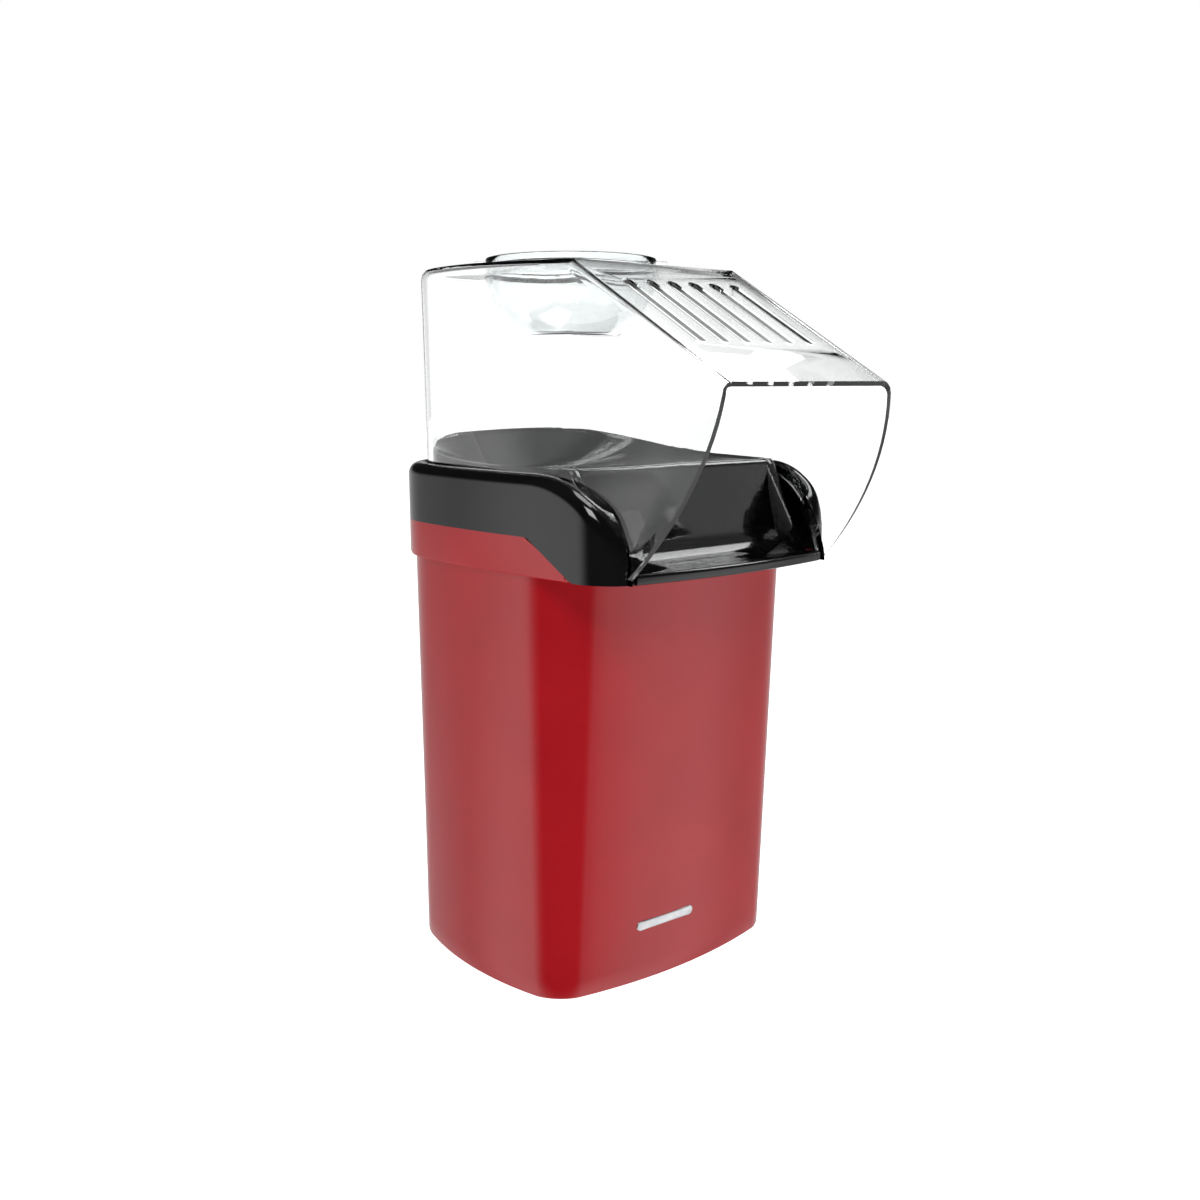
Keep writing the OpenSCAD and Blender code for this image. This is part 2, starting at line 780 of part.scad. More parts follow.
module fan_housing() {
    flange_z = duct_low_z - 2;
    color("#e6e3da") difference() {
        union() {
            on_axis() translate([0, 0, fan_floor_z]) cylinder(r = duct_out_r, h = duct_low_z - fan_floor_z);
            on_axis() translate([0, 0, flange_z]) cylinder(r = flange_r, h = 2);
            ears(flange_z, duct_low_z);
        }
        at_ears() cylinder(r = screw_r + screw_gap, h = far);
        on_axis() {
            translate([0, 0, fan_floor_z + fan_floor_t]) cylinder(r = duct_r, h = far);
            cylinder(r = bush_r + 1.5, h = far);
            for (i = [0:5])
                rotate([0, 0, 60 * i + 30]) translate([23.5, 0, 0]) cylinder(r = 5.5, h = far);
            for (a = [0, 180])
                rotate([0, 0, a]) translate([11, 0, 0]) cylinder(r = screw_r + screw_gap, h = far);
        }
    }
}

module duct_screws() {
    color("#b8babd")
        at_ears() translate([0, 0, duct_low_z - 2 - head_h]) screw(5);
}

module motor_screws() {
    color("#b8babd") on_axis()
        for (a = [0, 180])
            rotate([0, 0, a]) translate([11, 0, fan_floor_z + fan_floor_t + 1.2])
                mirror([0, 0, 1]) {
                    cylinder(r = 2.4, h = 1.2);
                    cylinder(r = screw_r, h = 1.2 + fan_floor_t + can_wall);
                }
}

// ---- Motor and fan ----

can_wall = 1.5;
core_r = 8.5;
core_h = 18;
core_z = motor_z + 11;
magnet_t = 4.2;

module motor_can() {
    color("#a9acae") on_axis() difference() {
        translate([0, 0, motor_z]) cylinder(r = motor_r, h = motor_h);
        translate([0, 0, motor_z - 1]) cylinder(r = motor_r - can_wall, h = motor_h - can_wall + 1);
        translate([0, 0, motor_z]) cylinder(r = bush_r, h = motor_h + 1);
        for (a = [0, 180])
            rotate([0, 0, a]) translate([11, 0, motor_z]) cylinder(r = screw_r + screw_gap, h = motor_h + 1);
    }
}

module motor_end_cap() {
    color("#2c2c2e") on_axis() difference() {
        union() {
            translate([0, 0, cap_z]) cylinder(r = motor_r, h = cap_h);
            translate([0, 0, motor_z - eps]) cylinder(r = motor_r - can_wall - 0.2, h = 2);
        }
        translate([0, 0, cap_z - 1]) cylinder(r = bush_r, h = cap_h + 4);
    }
}

module motor_magnets() {
    r_out = motor_r - can_wall - 0.1;
    color("#4a4a4c") on_axis() intersection() {
        tube(r_out, r_out - magnet_t, core_z - 1, core_z + core_h + 1);
        for (a = [0, 180])
            rotate([0, 0, a + 45]) cube([far / 10, far / 10, far]);
    }
}

module bush(z) {
    on_axis() tube(bush_r, shaft_r + shaft_gap, z, z + bush_h);
}

module upper_bush() {
    color("#b08a45") bush(motor_top_z - bush_h + 1);
}

module lower_bush() {
    color("#b08a45") bush(cap_z);
}

module carbon_brushes() {
    color("#3b3b3b") on_axis()
        for (a = [0, 180])
            rotate([0, 0, a]) translate([commutator_r + 0.1, -2, motor_z + 4])
                cube([5, 4, 4]);
}

commutator_r = 4;
commutator_z = motor_z + 3;

module motor_shaft() {
    color("#c9ccce") on_axis()
        translate([0, 0, shaft_low_z]) cylinder(r = shaft_r, h = shaft_top_z - shaft_low_z);
}

module motor_armature() {
    color("#9a6a3c") on_axis() difference() {
        union() {
            translate([0, 0, core_z]) cylinder(r = core_r, h = core_h);
            translate([0, 0, core_z - 2]) cylinder(r = core_r - 2, h = core_h + 4);
        }
        translate([0, 0, core_z - 3]) cylinder(r = shaft_r, h = core_h + 6);
        for (i = [0:4])
            rotate([0, 0, 72 * i]) translate([core_r - 1.5, -0.8, core_z - 1])
                cube([4, 1.6, core_h + 2]);
    }
}

module commutator() {
    color("#b87333") on_axis() tube(commutator_r, shaft_r, commutator_z, core_z - 2);
}

module fan_impeller() {
    color("#dcd8cc") on_axis() difference() {
        union() {
            translate([0, 0, fan_z]) cylinder(r = hub_r, h = blade_h + fan_disc_t);
            translate([0, 0, fan_z + blade_h]) cylinder(r = blade_r, h = fan_disc_t);
            for (i = [0:blades - 1])
                rotate([0, 0, 360 * i / blades]) translate([hub_r - 1, 0, fan_z])
                    rotate([0, 0, blade_lean]) translate([0, -blade_t / 2, 0])
                        cube([blade_r - hub_r - 1, blade_t, blade_h + fan_disc_t / 2]);
        }
        translate([0, 0, fan_z - 1]) cylinder(r = shaft_r, h = blade_h + fan_disc_t + 2);
    }
}

module fan_nut() {
    color("#b5b8ba") on_axis() difference() {
        translate([0, 0, fan_top_z]) cylinder(r = 4, h = 3, $fn = 6);
        translate([0, 0, fan_top_z - 1]) cylinder(r = shaft_r, h = 5);
    }
}

// ---- Electrics ----

module rectifier_board() {
    color("#2f6b3c") difference() {
        translate([-16, board_y - 10, board_z]) cube([32, 20, board_t]);
        for (x = [-13, 13])
            translate([x, board_y, board_z - 1]) cylinder(r = 1.2, h = board_t + 2);
    }
    color("#2f6b3c")
        for (x = [-13, 13])
            translate([x, board_y, 0]) tube(2.6, 1.2, plate_z + plate_t, board_z);
}

module diodes() {
    color("#202124")
        for (i = [0:3])
            translate([-9 + 6 * i, board_y + 5, board_z + board_t + 1.6])
                rotate([90, 0, 0]) cylinder(r = 1.6, h = 10);
}

module terminal_block() {
    color("#e9e6dc") difference() {
        translate([block_x - 6, block_y - 4, plate_z + plate_t]) cube([12, 24, 10]);
        for (i = [0:2])
            translate([block_x, block_y + 8 * i, plate_z + plate_t + 3]) cylinder(r = 2, h = 10);
    }
}

switch_back_y = body_rear - switch_depth;
block_top_z = plate_z + plate_t + 10;
terminal_t = 0.8;
terminal_y = switch_back_y - 3.5;

module switch_leads() {
    color("#7a1f1f")
        for (i = [0, 1])
            lead([
                [block_x, block_y + 8 * i, block_top_z - 6.8],
                [block_x, block_y + 8 * i, block_top_z - 1],
                [block_x, block_y + 8 * i, block_top_z + 6],
                [-46 - 4 * i, -16, 34 - 3 * i],
                [-50 - 4 * i, 14, 38 - 3 * i],
                [-32 - 3 * i, terminal_y, 40 - 5 * i],
                [-12 + 8 * i, terminal_y, 41 - 5 * i],
                [-4 + 8 * i, terminal_y, 50],
                [-4 + 8 * i, terminal_y, switch_z - terminal_t / 2 - 5],
                [-4 + 8 * i, terminal_y, switch_z - terminal_t / 2 - lead_gap]
            ], 1);
}

module motor_leads() {
    color("#1f3f7a")
        for (s = [-1, 1])
            lead([
                [s * 8, board_y + 8, board_z + board_t + lead_gap],
                [s * 8, board_y + 8, board_z + board_t + 1.5],
                [s * 8, board_y + 8, board_z + board_t + 3],
                [s * 8, board_y + 9, board_z + board_t + 8],
                [s * 7, -10, cap_z - 8],
                [s * 6, axis_y - 11, cap_z - 3],
                [s * 6, axis_y - 11, cap_z - 1.5],
                [s * 6, axis_y - 11, cap_z - lead_gap]
            ], 0.9);
}

module heater_leads() {
    color("#c9c2ae")
        for (s = [-1, 1])
            lead([
                [block_x + 9, -28 - 3 * s, plate_z + plate_t + 5],
                [block_x + 16, -30 - 3 * s, plate_z + plate_t + 14],
                [-20 + 6 * s, -44, 60],
                [-20 + 6 * s, -46, 90],
                [-20 + 6 * s, axis_y - duct_out_r * 0.93 - 2.4 + s, heater_z + 8]
            ], 1);
}

module switch_body() {
    color("#17171a") difference() {
        union() {
            translate([-switch_w / 2 + 0.2, switch_back_y, switch_z - switch_h / 2 + 0.2])
                cube([switch_w - 0.4, switch_depth, switch_h - 0.4]);
            translate([-switch_w / 2 - bezel_rim, body_rear, switch_z - switch_h / 2 - bezel_rim])
                cube([switch_w + 2 * bezel_rim, bezel_t, switch_h + 2 * bezel_rim]);
        }
        translate([-switch_w / 2 + switch_wall, body_rear - 8, switch_z - switch_h / 2 + switch_wall])
            cube([switch_w - 2 * switch_wall, far, switch_h - 2 * switch_wall]);
        rocker_pin(rocker_pin_r + rocker_pin_gap, rocker_pin_in + rocker_pin_gap);
    }
}

// The pin that the rocker tips on, its ends standing in the switch's side walls
module rocker_pin(r, in_wall) {
    len = switch_w - 2 * switch_wall + 2 * in_wall;
    translate([-len / 2, body_rear + bezel_t - rocker_pivot_in, switch_z])
        rotate([0, 90, 0]) cylinder(r = r, h = len);
}

module switch_terminals() {
    color("#c9a24a")
        for (x = [-4, 4])
            translate([x - 2.4, switch_back_y - 6, switch_z - terminal_t / 2]) cube([4.8, 6, terminal_t]);
}

// The rocker tips about a pin across its width; off, its lower half stands out
module switch_rocker() {
    half = rocker_h / 2;
    rise = half * tan(rocker_swing / 2);
    color("#1d1d20") rocker_pin(rocker_pin_r, rocker_pin_in);
    color("#1d1d20")
        translate([0, body_rear + bezel_t - rocker_pivot_in, switch_z])
            rotate([-rocker_swing / 2, 0, 0])
                translate([-rocker_w / 2, 0, 0]) rotate([90, 0, 90]) linear_extrude(rocker_w)
                    polygon([[-4, -half * 0.55], [-4, half * 0.55], [rise + 1, half], [1, 0], [rise + 1, -half]]);
}

module cord_inlet() {
    wall_y = body_rear;
    color(black)
        translate([0, wall_y, inlet_z]) rotate([-90, 0, 0]) difference() {
            union() {
                translate([0, 0, -inlet_len]) cylinder(r = inlet_body_r, h = inlet_len + 1);
                cylinder(r1 = inlet_flange_r, r2 = inlet_flange_r - 0.8, h = bezel_t);
                translate([0, 0, -housing_wall - 2]) cylinder(r = inlet_body_r + 0.8, h = 1.8);
            }
            translate([0, 0, -inlet_len - 1]) cylinder(r = inlet_bore_r, h = inlet_len + bezel_t + 2);
        }
}

housing();
base_plate();
rubber_feet();
base_screws();
badge();
chute();
chute_screws();
hood();
measuring_cup();
popping_chamber();
chamber_gasket();
air_duct();
mica_sleeve();
heater_frame();
heater_coil();
thermostat();
thermal_fuse();
fan_housing();
duct_screws();
motor_screws();
motor_can();
motor_end_cap();
motor_magnets();
upper_bush();
lower_bush();
carbon_brushes();
motor_shaft();
motor_armature();
commutator();
fan_impeller();
fan_nut();
rectifier_board();
diodes();
terminal_block();
switch_leads();
motor_leads();
heater_leads();
switch_body();
switch_terminals();
switch_rocker();
cord_inlet();
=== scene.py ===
"""A hot-air popcorn maker: a glossy red housing, a black funnel top with a pouring slide, a clear lift-off
hood and a clear measuring cup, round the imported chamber, duct, heater, fan and motor."""

import math

import bmesh
import bpy
import numpy as np
from mathutils import Matrix, Vector


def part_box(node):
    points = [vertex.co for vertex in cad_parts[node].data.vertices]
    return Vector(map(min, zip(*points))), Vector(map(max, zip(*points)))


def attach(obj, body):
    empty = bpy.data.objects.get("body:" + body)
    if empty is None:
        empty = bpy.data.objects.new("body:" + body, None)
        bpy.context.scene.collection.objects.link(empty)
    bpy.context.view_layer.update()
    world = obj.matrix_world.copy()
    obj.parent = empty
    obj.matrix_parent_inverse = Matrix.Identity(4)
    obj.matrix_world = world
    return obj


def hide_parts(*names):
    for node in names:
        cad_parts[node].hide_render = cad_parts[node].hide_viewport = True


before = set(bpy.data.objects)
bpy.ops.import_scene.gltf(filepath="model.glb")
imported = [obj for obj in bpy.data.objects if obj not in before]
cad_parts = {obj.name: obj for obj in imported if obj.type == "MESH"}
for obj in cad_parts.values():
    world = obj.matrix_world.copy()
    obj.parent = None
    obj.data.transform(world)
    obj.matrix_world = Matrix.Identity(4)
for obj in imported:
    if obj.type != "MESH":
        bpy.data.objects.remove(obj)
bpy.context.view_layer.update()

MM = 0.001
scene = bpy.context.scene
scene.view_settings.view_transform = "Standard"

# ---- Camera: from the front left, a little above the rim of the funnel ----

towards_camera = Vector((-0.620, -0.7636, 0.1798)).normalized()
lens = bpy.data.cameras.new("camera")
lens.lens = 36.2
lens.sensor_width = 36
camera = bpy.data.objects.new("camera", lens)
camera.location = Vector((-326.8, -410.1, 247.6)) * MM
camera.rotation_euler = towards_camera.to_track_quat("Z", "Y").to_euler()
scene.collection.objects.link(camera)
scene.camera = camera


# ---- Materials ----


def linear(code):
    """An sRGB hex colour as linear red, green, blue and alpha."""
    parts = [int(code[i : i + 2], 16) / 255 for i in (1, 3, 5)]
    return (*[p / 12.92 if p <= 0.04045 else ((p + 0.055) / 1.055) ** 2.4 for p in parts], 1)


def per_mm(size):
    """The scale of a pattern whose features are this many millimetres across."""
    return 1000 / size


def add(tree, kind, inputs=None, **settings):
    """A node with its settings, and its inputs set to values or linked to other nodes' outputs."""
    made = tree.nodes.new(kind)
    for key, value in settings.items():
        setattr(made, key, value)
    for key, value in (inputs or {}).items():
        if isinstance(value, bpy.types.NodeSocket):
            tree.links.new(value, made.inputs[key])
        else:
            made.inputs[key].default_value = value
    return made


def finish(name, **sockets):
    """A material with one Principled shader, whose plain numbers are set on its own sockets."""
    made = bpy.data.materials.new(name)
    made.use_nodes = True
    tree = made.node_tree
    shader = tree.nodes["Principled BSDF"]
    for key, value in sockets.items():
        shader.inputs[key.replace("_", " ")].default_value = value
    place = add(tree, "ShaderNodeTexCoord").outputs["Object"]
    return made, tree, shader, place


def mottle(tree, shader, place, light, dark, size):
    """The base colour drifts between two near shades over patches of this many millimetres."""
    patches = add(tree, "ShaderNodeTexNoise", {"Vector": place, "Scale": per_mm(size), "Detail": 2.0})
    ramp = add(tree, "ShaderNodeValToRGB", {"Fac": patches.outputs["Fac"]})
    ramp.color_ramp.elements[0].position = 0.35
    ramp.color_ramp.elements[0].color = linear(dark)
    ramp.color_ramp.elements[1].position = 0.65
    ramp.color_ramp.elements[1].color = linear(light)
    tree.links.new(ramp.outputs["Color"], shader.inputs["Base Color"])
    return patches


def grain(tree, shader, place, size, depth, rough_low, rough_high):
    """A fine surface grain of this size and depth in millimetres, and the roughness that goes with it."""
    speck = add(tree, "ShaderNodeTexNoise", {"Vector": place, "Scale": per_mm(size), "Detail": 3.0})
    span = add(
        tree,
        "ShaderNodeMapRange",
        {"Value": speck.outputs["Fac"], "To Min": rough_low, "To Max": rough_high},
    )
    tree.links.new(span.outputs["Result"], shader.inputs["Roughness"])
    bump = add(
        tree, "ShaderNodeBump", {"Height": speck.outputs["Fac"], "Strength": 0.5, "Distance": depth * MM}
    )
    tree.links.new(bump.outputs["Normal"], shader.inputs["Normal"])


def moulded(name, light, dark, rough, size=0.5, depth=0.004, **sockets):
    """Injection-moulded plastic: an even colour with slow flow shading and a faint grain."""
    made, tree, shader, place = finish(name, IOR=1.54, **sockets)
    mottle(tree, shader, place, light, dark, 35)
    grain(tree, shader, place, size, depth, rough[0], rough[1])
    return made


# Polished ABS shows a wet-looking reflection over a deep even colour, with only a trace of orange peel
glossy_red_abs = moulded("glossy_red_abs", "#b0101b", "#a90e19", (0.10, 0.15), size=3.0, depth=0.004)
glossy_black_abs = moulded("glossy_black_abs", "#0d0d0e", "#09090a", (0.07, 0.11), size=3.0, depth=0.003)
# Spark-eroded ABS is a dull charcoal with an even fine tooth
satin_black_abs = moulded("satin_black_abs", "#1d1d1f", "#18181a", (0.42, 0.55), size=0.35, depth=0.02)
polished_black_nylon = moulded(
    "polished_black_nylon", "#141416", "#101012", (0.18, 0.26), size=0.8, depth=0.006
)
natural_rubber = moulded("natural_rubber", "#222223", "#1b1b1c", (0.70, 0.85), size=0.4, depth=0.03)
phenolic_moulding = moulded("phenolic_moulding", "#e2dccd", "#d6cfbe", (0.35, 0.48), size=0.7, depth=0.01)
glass_filled_nylon = moulded("glass_filled_nylon", "#d9d4c6", "#cdc7b7", (0.38, 0.52), size=0.5, depth=0.01)
steatite = moulded("steatite", "#e8e4d8", "#dcd6c7", (0.30, 0.42), size=0.3, depth=0.006)
pvc_red = moulded("pvc_red", "#a32222", "#8e1a1a", (0.30, 0.40), size=0.5)
pvc_blue = moulded("pvc_blue", "#23468c", "#1d3a75", (0.30, 0.40), size=0.5)


def cast(name, light, dark, rough, size, depth, metallic=1.0):
    """Bare metal with patches of slightly different tone and a fine tooth."""
    made, tree, shader, place = finish(name, Metallic=metallic)
    mottle(tree, shader, place, light, dark, size * 12)
    grain(tree, shader, place, size, depth, rough[0], rough[1])
    return made


zinc_plated_steel = cast("zinc_plated_steel", "#c9ccd0", "#aeb1b5", (0.22, 0.34), 0.4, 0.004)
galvanised_sheet = cast("galvanised_sheet", "#b4b8bb", "#989c9f", (0.30, 0.45), 0.9, 0.006)
oxidised_wire = cast("oxidised_wire", "#6d6660", "#4a4541", (0.45, 0.60), 0.3, 0.01)
sintered_bronze = cast("sintered_bronze", "#b08d57", "#8f6f3f", (0.40, 0.55), 0.15, 0.01)
bare_copper = cast("bare_copper", "#c98255", "#a96843", (0.22, 0.35), 0.3, 0.004)
tinned_brass = cast("tinned_brass", "#d0b46a", "#b39850", (0.25, 0.38), 0.3, 0.004)
sintered_ferrite = cast("sintered_ferrite", "#3c3c3f", "#2c2c2e", (0.55, 0.70), 0.2, 0.012, metallic=0.0)
pressed_carbon = cast("pressed_carbon", "#2b2b2c", "#1f1f20", (0.50, 0.65), 0.15, 0.01, metallic=0.0)


def spun_aluminium():
    """Spun aluminium shows fine rings round the spindle's axis, which stretch its highlights."""
    made, tree, shader, place = finish("spun_aluminium", Metallic=1.0)
    mottle(tree, shader, place, "#d2d4d6", "#bcbec1", 9)
    centre = add(tree, "ShaderNodeMapping", {"Vector": place, "Location": (0, -axis_y * MM, 0)})
    rings = add(
        tree,
        "ShaderNodeTexWave",
        {"Vector": centre.outputs["Vector"], "Scale": per_mm(6.0), "Distortion": 0.6, "Detail": 2.0},
        wave_type="RINGS",
        rings_direction="Z",
    )
    span = add(
        tree, "ShaderNodeMapRange", {"Value": rings.outputs["Fac"], "To Min": 0.24, "To Max": 0.36}
    )
    tree.links.new(span.outputs["Result"], shader.inputs["Roughness"])
    bump = add(
        tree, "ShaderNodeBump", {"Height": rings.outputs["Fac"], "Strength": 0.4, "Distance": 0.01 * MM}
    )
    tree.links.new(bump.outputs["Normal"], shader.inputs["Normal"])
    return made


def mica_sheet():
    """Pressed mica is a warm grey sheet with small pearly flakes."""
    made, tree, shader, place = finish("mica_sheet", IOR=1.58)
    flakes = add(tree, "ShaderNodeTexVoronoi", {"Vector": place, "Scale": per_mm(1.6)})
    ramp = add(tree, "ShaderNodeValToRGB", {"Fac": flakes.outputs["Distance"]})
    ramp.color_ramp.elements[0].color = linear("#c8b893")
    ramp.color_ramp.elements[1].color = linear("#98876a")
    tree.links.new(ramp.outputs["Color"], shader.inputs["Base Color"])
    grain(tree, shader, place, 0.5, 0.01, 0.25, 0.5)
    return made


def wound(name, light, dark, pitch):
    """Lacquered copper wire, laid in turns of this pitch in millimetres."""
    made, tree, shader, place = finish(name, Metallic=0.6)
    turns = add(
        tree, "ShaderNodeTexWave", {"Vector": place, "Scale": per_mm(pitch * 6), "Distortion": 1.0},
        wave_type="BANDS", bands_direction="Z",
    )
    ramp = add(tree, "ShaderNodeValToRGB", {"Fac": turns.outputs["Fac"]})
    ramp.color_ramp.elements[0].color = linear(dark)
    ramp.color_ramp.elements[1].color = linear(light)
    tree.links.new(ramp.outputs["Color"], shader.inputs["Base Color"])
    bump = add(
        tree, "ShaderNodeBump", {"Height": turns.outputs["Fac"], "Strength": 0.6, "Distance": 0.1 * MM}
    )
    tree.links.new(bump.outputs["Normal"], shader.inputs["Normal"])
    shader.inputs["Roughness"].default_value = 0.35
    return made


def woven(name, light, dark, pitch):
    """A woven glass cloth under resin or round a lead: a fine regular check."""
    made, tree, shader, place = finish(name, IOR=1.5)
    check = add(tree, "ShaderNodeTexChecker", {"Vector": place, "Scale": per_mm(pitch)})
    check.inputs["Color1"].default_value = linear(light)
    check.inputs["Color2"].default_value = linear(dark)
    tree.links.new(check.outputs["Color"], shader.inputs["Base Color"])
    grain(tree, shader, place, pitch, 0.02, 0.35, 0.5)
    return made


def polycarbonate(name, tint):
    """Clear polished polycarbonate bends light like glass, with a trace of grey at its edges."""
    made, tree, shader, place = finish(name, IOR=1.585, Transmission_Weight=1.0)
    shader.inputs["Base Color"].default_value = linear(tint)
    # Moulding ripple of 14 mm and a few hundredths of a millimetre deep, which only the reflections show
    ripple = add(tree, "ShaderNodeTexNoise", {"Vector": place, "Scale": per_mm(14), "Detail": 1.0})
    bump = add(
        tree, "ShaderNodeBump", {"Height": ripple.outputs["Fac"], "Strength": 0.2, "Distance": 0.02 * MM}
    )
    tree.links.new(bump.outputs["Normal"], shader.inputs["Normal"])
    haze = add(
        tree, "ShaderNodeMapRange", {"Value": ripple.outputs["Fac"], "To Min": 0.0, "To Max": 0.03}
    )
    tree.links.new(haze.outputs["Result"], shader.inputs["Roughness"])
    return made


# Size of the axis that the chamber, heater, fan and motor share
axis_y = 12
spun = spun_aluminium()
mica = mica_sheet()
winding = wound("lacquered_winding", "#a8683a", "#7a4322", 0.5)
board_laminate = woven("glass_epoxy_board", "#2f6b3c", "#2a6036", 0.6)
glass_sleeving = woven("glass_sleeving", "#d8d2c2", "#c2bba9", 0.6)
clear_hood = polycarbonate("clear_polycarbonate_hood", "#fbfcfc")
clear_cup = polycarbonate("clear_polycarbonate_cup", "#f8fafa")
silver_print = cast("silver_foil_print", "#dcdddf", "#cfd0d3", (0.25, 0.35), 0.3, 0.002)

CAD_FINISH = {
    "base_plate": satin_black_abs,
    "base_screws": zinc_plated_steel,
    "chute_screws": zinc_plated_steel,
    "duct_screws": zinc_plated_steel,
    "motor_screws": zinc_plated_steel,
    "popping_chamber": spun,
    "chamber_gasket": glass_sleeving,
    "air_duct": galvanised_sheet,
    "mica_sleeve": mica,
    "heater_frame": mica,
    "heater_coil": oxidised_wire,
    "thermostat": steatite,
    "thermal_fuse": steatite,
    "fan_housing": phenolic_moulding,
    "motor_can": galvanised_sheet,
    "motor_end_cap": polished_black_nylon,
    "motor_magnets": sintered_ferrite,
    "upper_bush": sintered_bronze,
    "lower_bush": sintered_bronze,
    "carbon_brushes": pressed_carbon,
    "motor_shaft": zinc_plated_steel,
    "motor_armature": winding,
    "commutator": bare_copper,
    "fan_impeller": glass_filled_nylon,
    "fan_nut": zinc_plated_steel,
    "rectifier_board": board_laminate,
    "diodes": polished_black_nylon,
    "terminal_block": phenolic_moulding,
    "switch_leads": pvc_red,
    "motor_leads": pvc_blue,
    "heater_leads": glass_sleeving,
    "switch_terminals": tinned_brass,
}
for node_name, material in CAD_FINISH.items():
    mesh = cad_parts[node_name].data
    mesh.materials.clear()
    mesh.materials.append(material)


# ---- Modelling helpers ----


def pick_only(piece):
    """Leaves one object selected and active."""
    if bpy.context.mode != "OBJECT":
        bpy.ops.object.mode_set(mode="OBJECT")
    bpy.ops.object.select_all(action="DESELECT")
    piece.select_set(True)
    bpy.context.view_layer.objects.active = piece


def clear_pick():
    """Leaves nothing selected."""
    if bpy.context.object and bpy.context.mode != "OBJECT":
        bpy.ops.object.mode_set(mode="OBJECT")
    bpy.ops.object.select_all(action="DESELECT")


def apply_modifier(piece, kind, **settings):
    """Adds a modifier, sets it and applies it."""
    pick_only(piece)
    step = piece.modifiers.new(kind.lower(), kind)
    for key, value in settings.items():
        setattr(step, key, value)
    bpy.ops.object.modifier_apply(modifier=step.name)


def settle(piece):
    """Puts a piece's place into its mesh, so that its object sits at the origin."""
    pick_only(piece)
    bpy.ops.object.transform_apply(location=True, rotation=True, scale=True)
    return piece


def join(name, pieces):
    """Makes one object of several."""
    clear_pick()
    for piece in pieces:
        piece.select_set(True)
    bpy.context.view_layer.objects.active = pieces[0]
    bpy.ops.object.join()
    pieces[0].name = name
    pieces[0].data.name = name
    return pieces[0]


def weld(piece, gap=0.02, outward=True):
    """Merges points that lie on each other, and turns the faces outwards."""
    pick_only(piece)
    bpy.ops.object.mode_set(mode="EDIT")
    bpy.ops.mesh.select_all(action="SELECT")
    bpy.ops.mesh.remove_doubles(threshold=gap * MM)
    if outward:
        bpy.ops.mesh.normals_make_consistent(inside=False)
    bpy.ops.object.mode_set(mode="OBJECT")
    return piece


def smooth(piece, angle=40):
    """Shades a piece smooth, except across edges sharper than this angle in degrees."""
    pick_only(piece)
    bpy.ops.object.shade_smooth_by_angle(angle=math.radians(angle))
    return piece


def dress(piece, material, body, slot, *nodes):
    """Gives a finished piece its material and its body, and hides the CAD nodes it stands for. The slot is
    not used.
    """
    piece.data.materials.clear()
    piece.data.materials.append(material)
    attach(piece, body)
    if nodes:
        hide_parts(*nodes)
    return piece


def skin(name, rows, closed=False):
    """A skin through rows of points in millimetres: a grid whose points are put in place, one row after
    another. A closed skin runs round and meets itself."""
    clear_pick()
    across = len(rows[0]) - (0 if closed else 1)
    up = len(rows) - 1
    bpy.ops.mesh.primitive_grid_add(x_subdivisions=across, y_subdivisions=up, size=2)
    piece = bpy.context.object
    piece.name = name
    for point in piece.data.vertices:
        column = round((point.co.x + 1) / 2 * across) % len(rows[0])
        row = round((point.co.y + 1) / 2 * up)
        point.co = Vector(rows[row][column]) * MM
    return weld(piece, outward=False)


def fill_holes(piece):
    """Closes every open edge loop of a piece with a face."""
    pick_only(piece)
    bpy.ops.object.mode_set(mode="EDIT")
    bpy.ops.mesh.select_all(action="DESELECT")
    bpy.ops.mesh.select_mode(type="EDGE")
    bpy.ops.mesh.select_non_manifold()
    bpy.ops.mesh.fill_holes(sides=0)
    bpy.ops.object.mode_set(mode="OBJECT")
    return piece


def cut(piece, tool, operation="DIFFERENCE"):
    """Cuts a tool out of a piece, or adds it, and removes the tool."""
    pick_only(piece)
    step = piece.modifiers.new("cut", "BOOLEAN")
    step.object = tool
    step.operation = operation
    step.solver = "EXACT"
    bpy.ops.object.modifier_apply(modifier=step.name)
    bpy.data.objects.remove(tool)
    return piece


def block(name, low, high, bevel=0.0, segments=3):
    """A box between two corners in millimetres, with its edges rounded."""
    clear_pick()
    middle = [(a + b) / 2 * MM for a, b in zip(low, high)]
    bpy.ops.mesh.primitive_cube_add(size=1, location=middle)
    piece = bpy.context.object
    piece.name = name
    piece.scale = [(b - a) * MM for a, b in zip(low, high)]
    settle(piece)
    if bevel:
        apply_modifier(piece, "BEVEL", width=bevel * MM, segments=segments)
    return piece


def turned(name, profile, centre, steps=96):
    """A profile of (radius, height) points in millimetres, spun a full turn about an upright axis."""
    clear_pick()
    first = Vector((centre[0] + profile[0][0], centre[1], profile[0][1])) * MM
    bpy.ops.mesh.primitive_plane_add(size=MM, location=(0, 0, 0))
    piece = bpy.context.object
    piece.name = name
    bpy.ops.object.mode_set(mode="EDIT")
    bpy.ops.mesh.select_mode(type="VERT")
    bpy.ops.mesh.select_all(action="SELECT")
    bpy.ops.mesh.merge(type="CENTER")
    bpy.ops.transform.translate(value=first)
    for (r0, z0), (r1, z1) in zip(profile, profile[1:]):
        bpy.ops.mesh.extrude_region_move(
            TRANSFORM_OT_translate={"value": ((r1 - r0) * MM, 0, (z1 - z0) * MM)}
        )
    bpy.ops.mesh.select_all(action="SELECT")
    bpy.ops.mesh.spin(
        steps=steps, angle=2 * math.pi, center=(centre[0] * MM, centre[1] * MM, 0), axis=(0, 0, 1)
    )
    bpy.ops.object.mode_set(mode="OBJECT")
    return weld(piece)


# ---- Outlines, in millimetres ----


